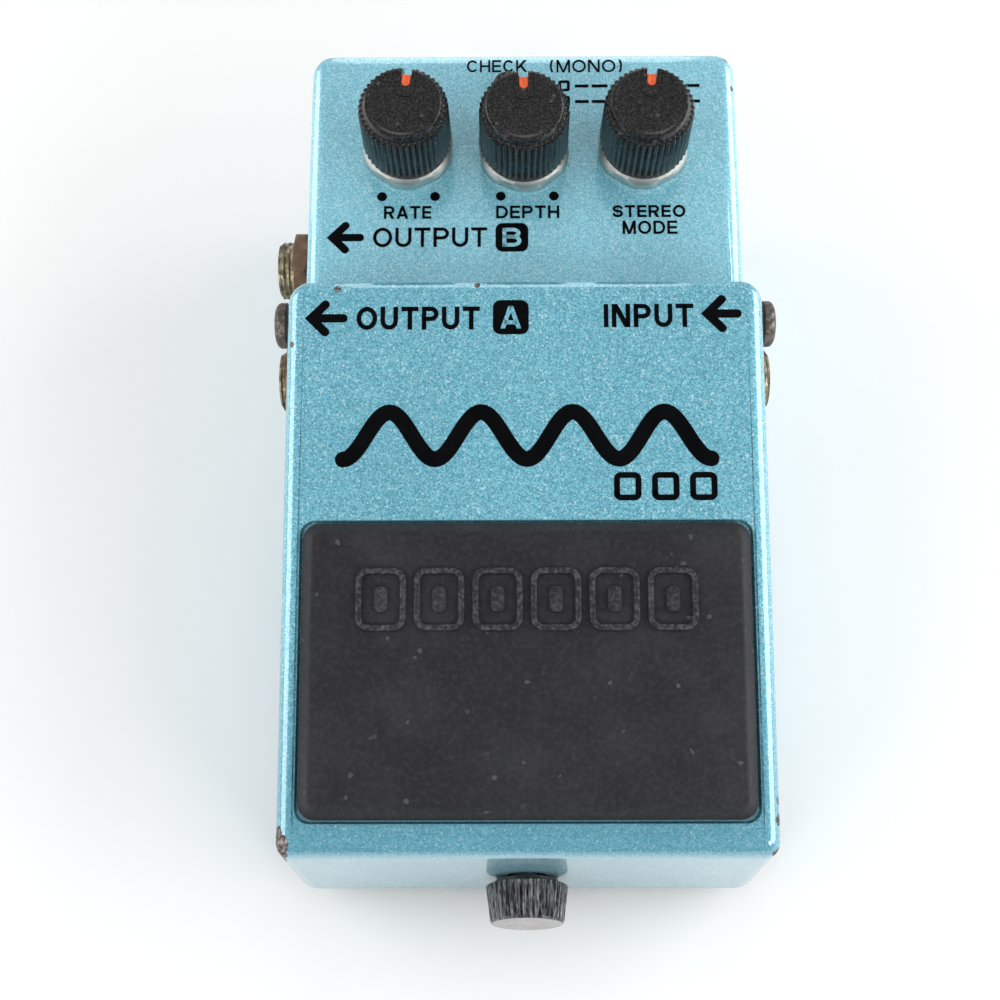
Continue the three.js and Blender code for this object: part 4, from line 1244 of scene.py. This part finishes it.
def capital(letter, x0, x1, y0, y1, weight, lift=0.0):
    """One letter that fills a rectangle of its plane."""
    half = weight / 2
    strokes, slants = CAPITALS[letter][1:]
    made = []
    for points in strokes:
        wide, tall = x1 - x0 - weight, y1 - y0 - weight
        at = [(x0 + half + wide * x, y0 + half + tall * y) for x, y in points]
        made.append(stroke(at, weight, lift=lift))
    for (xa, ya), (xb, yb) in slants:
        rise, run = (yb - ya) * (y1 - y0), (xb - xa) * (x1 - x0)
        level = half * math.hypot(rise, run) / abs(rise)
        wide = x1 - x0 - 2 * level
        (xa, ya), (xb, yb) = (
            (x0 + level + wide * x, y0 + (y1 - y0) * y) for x, y in ((xa, ya), (xb, yb))
        )
        corners = [(xa - level, ya), (xa + level, ya), (xb + level, yb), (xb - level, yb)]
        made.append(patch(corners, lift))
    return made


def word(text, x0, x1, y0, y1, weight):
    """A word in plain capitals that fills a rectangle of its plane."""
    widths = [CAPITALS[letter][0] for letter in text]
    unit = (x1 - x0) / (sum(widths) + LETTER_GAP * (len(text) - 1))
    made, x = [], x0
    for letter, width in zip(text, widths):
        made += capital(letter, x, x + width * unit, y0, y1, weight)
        x += (width + LETTER_GAP) * unit
    return made


def wave(x0, x1, y0, y1, width, crests):
    """A smooth wave drawn as one thick line."""
    middle, reach = (y0 + y1) / 2, (y1 - y0 - width) / 2
    start, span = x0 + width / 2, x1 - x0 - width
    count = int(crests * 32)
    points = [
        (start + span * i / count, middle - reach * math.cos(math.tau * crests * i / count))
        for i in range(count + 1)
    ]
    return [stroke(points, width, True)]


def open_square(x0, x1, y0, y1, weight, corner):
    """A square outline with round corners."""
    ring = rounded_rectangle(x0, y0, x1, y1, corner, weight / 2)
    return [stroke(ring + ring[:1], weight)]


def bars(x0, x1, y, width, *breaks):
    """A row of short bars from x0 to x1, with gaps as wide as a bar is tall at the breaks."""
    starts = [x0] + [at + width / 2 for at in breaks]
    ends = [at - width / 2 for at in breaks] + [x1]
    return [
        patch(rounded_rectangle(start, y - width / 2, end, y + width / 2, 0.1))
        for start, end in zip(starts, ends)
    ]


def dot(x, y, radius):
    turns = [math.tau * k / 24 for k in range(24)]
    return [patch([(x + radius * math.cos(turn), y + radius * math.sin(turn)) for turn in turns])]


def print_legend(name, body, place, *groups, material=INK):
    """Joins groups of marks into one printed piece on a plane."""
    whole = bmesh.new()
    for mark in (mark for group in groups for mark in group):
        whole.from_mesh(mark.data)
        bpy.data.objects.remove(mark)
    whole.transform(Matrix.Scale(MM, 4) @ place @ Matrix.Scale(1 / MM, 4))
    mesh = bpy.data.meshes.new(name)
    whole.to_mesh(mesh)
    whole.free()
    present(linked(name, mesh), name, body, material)
    mesh.shade_flat()


def boxed_letter(name, body, place, letter, x0, x1, y0, y1, paint):
    """A letter in the paint's own colour on a round-cornered patch of ink."""
    print_legend(f"{name}_patch", body, place, [patch(rounded_rectangle(x0, y0, x1, y1, 1.1))])
    side, end = (x1 - x0) * 0.21, (y1 - y0) * 0.17
    shape = capital(letter, x0 + side, x1 - side, y0 + end, y1 - end, 0.6, 0.012)
    print_legend(f"{name}_letter", body, place, shape, material=paint)


def treadle_legends():
    body, on, bold = "treadle", ON_TREADLE, 0.66
    print_legend("output_legend", body, on, arrow(-32.0, -25.8, 76.1, 2.7, 1.25),
                 word("OUTPUT", -24.5, -6.6, 74.35, 77.8, bold))
    boxed_letter("first_output", body, on, "A", -4.7, 0.5, 73.6, 78.75, TREADLE_PAINT)
    print_legend("input_legend", body, on, word("INPUT", 11.4, 24.4, 74.6, 78.1, bold),
                 arrow(25.5, 31.4, 76.6, 2.8, 1.25))
    print_legend("wave_emblem", body, on, wave(-27.3, 27.6, 54, 63.2, 2.3, 4))
    squares = [open_square(x, x + 3.9, 49.1, 53.2, 0.85, 1.0) for x in (12.5, 17.9, 23.3)]
    print_legend("square_emblem", body, on, *squares)


def panel_legends():
    body, on, fine = "case", ON_PANEL @ Matrix.Translation((0.12, -0.3, 0)), 0.38
    for name, x in (("rate", -17.95), ("depth", 0.4)):
        ends = [dot(x + side * 4.1, -24.9, 0.75) for side in (-1, 1)]
        print_legend(f"{name}_range_dots", body, on, *ends)
    print_legend("rate_legend", body, on, word("RATE", -21.7, -14.4, -28.6, -26.5, fine))
    print_legend("depth_legend", body, on, word("DEPTH", -4.4, 5.3, -28.6, -26.5, fine))
    print_legend("mode_legend", body, on, word("STEREO", 13.5, 24.7, -28.5, -26.5, fine),
                 word("MODE", 15, 23.4, -31.3, -29.1, fine))
    print_legend("second_output_legend", body, on, arrow(-30.4, -24.7, -31.7, 2.6, 1.2),
                 word("OUTPUT", -23.3, -5.8, -33.3, -30.1, 0.5))
    boxed_letter("second_output", body, on, "B", -4.5, 0.5, -34.1, -29.4, CASE_PAINT)
    print_legend("check_legend", body, on, word("CHECK", -9.0, 0.5, -3.6, -1.5, 0.3))
    print_legend("mono_legend", body, on, word("(MONO)", 4.1, 15.5, -3.7, -1.5, 0.3))
    keys = [open_square(5.4, 7.2, low, low + 1.9, 0.45, 0.4) for low in (-7.0, -9.7)]
    rows = [bars(8.0, 27.6, low, 0.5, 10.4, 13.4, 16.2, 20.4, 25.2) for low in (-6.1, -8.8)]
    print_legend("mode_key", body, on, *keys, *rows)


treadle_legends()
panel_legends()


# ---------- floor and lights ----------
FLOOR_REACH = 900


def make_floor():
    """A plain pale floor, with the faintest clouding."""
    bm = bmesh.new()
    bmesh.ops.create_grid(bm, x_segments=24, y_segments=24, size=FLOOR_REACH)
    floor = loose_object(bm)
    floor.name = floor.data.name = "floor"
    s = Shader("floor")
    s.set(
        Base_Color=s.mix(s.noise(60, detail=2), (0.80, 0.80, 0.795), (0.83, 0.83, 0.825)),
        Roughness=0.75,
    )
    floor.data.materials.append(s.material)


# Each softbox's place, its two sides and its power. All aim at a point in the pedal.
SOFTBOXES = {
    "right_box": ((430, 0, 220), (640, 300), 2.3),
    "left_box": ((-430, 0, 220), (600, 280), 1.5),
    "rear_box": ((0, 440, 240), (160, 560), 0.45),
    "front_right": ((300, -380, 280), (160, 160), 0.62),
    "front_left": ((-300, -380, 280), (160, 160), 0.58),
}
LIGHT_AIM = Vector((0, 0, 20))
SURROUND = {"colour": (0.985, 0.99, 1.0, 1), "strength": 0.52}


def softbox(name, where, size, power):
    lamp = bpy.data.lights.new(name, "AREA")
    lamp.shape = "RECTANGLE"
    lamp.size, lamp.size_y = (side * MM for side in size)
    lamp.energy = power
    made = linked(name, lamp)
    made.location = Vector(where) * MM
    made.rotation_euler = (LIGHT_AIM * MM - made.location).to_track_quat("-Z", "Y").to_euler()


def make_light():
    world = bpy.data.worlds.new("studio")
    world.use_nodes = True
    background = world.node_tree.nodes["Background"]
    background.inputs["Color"].default_value = SURROUND["colour"]
    background.inputs["Strength"].default_value = SURROUND["strength"]
    bpy.context.scene.world = world
    for name, box_of_light in SOFTBOXES.items():
        softbox(name, *box_of_light)
    bpy.context.scene.view_settings.view_transform = "Standard"


make_floor()
make_light()
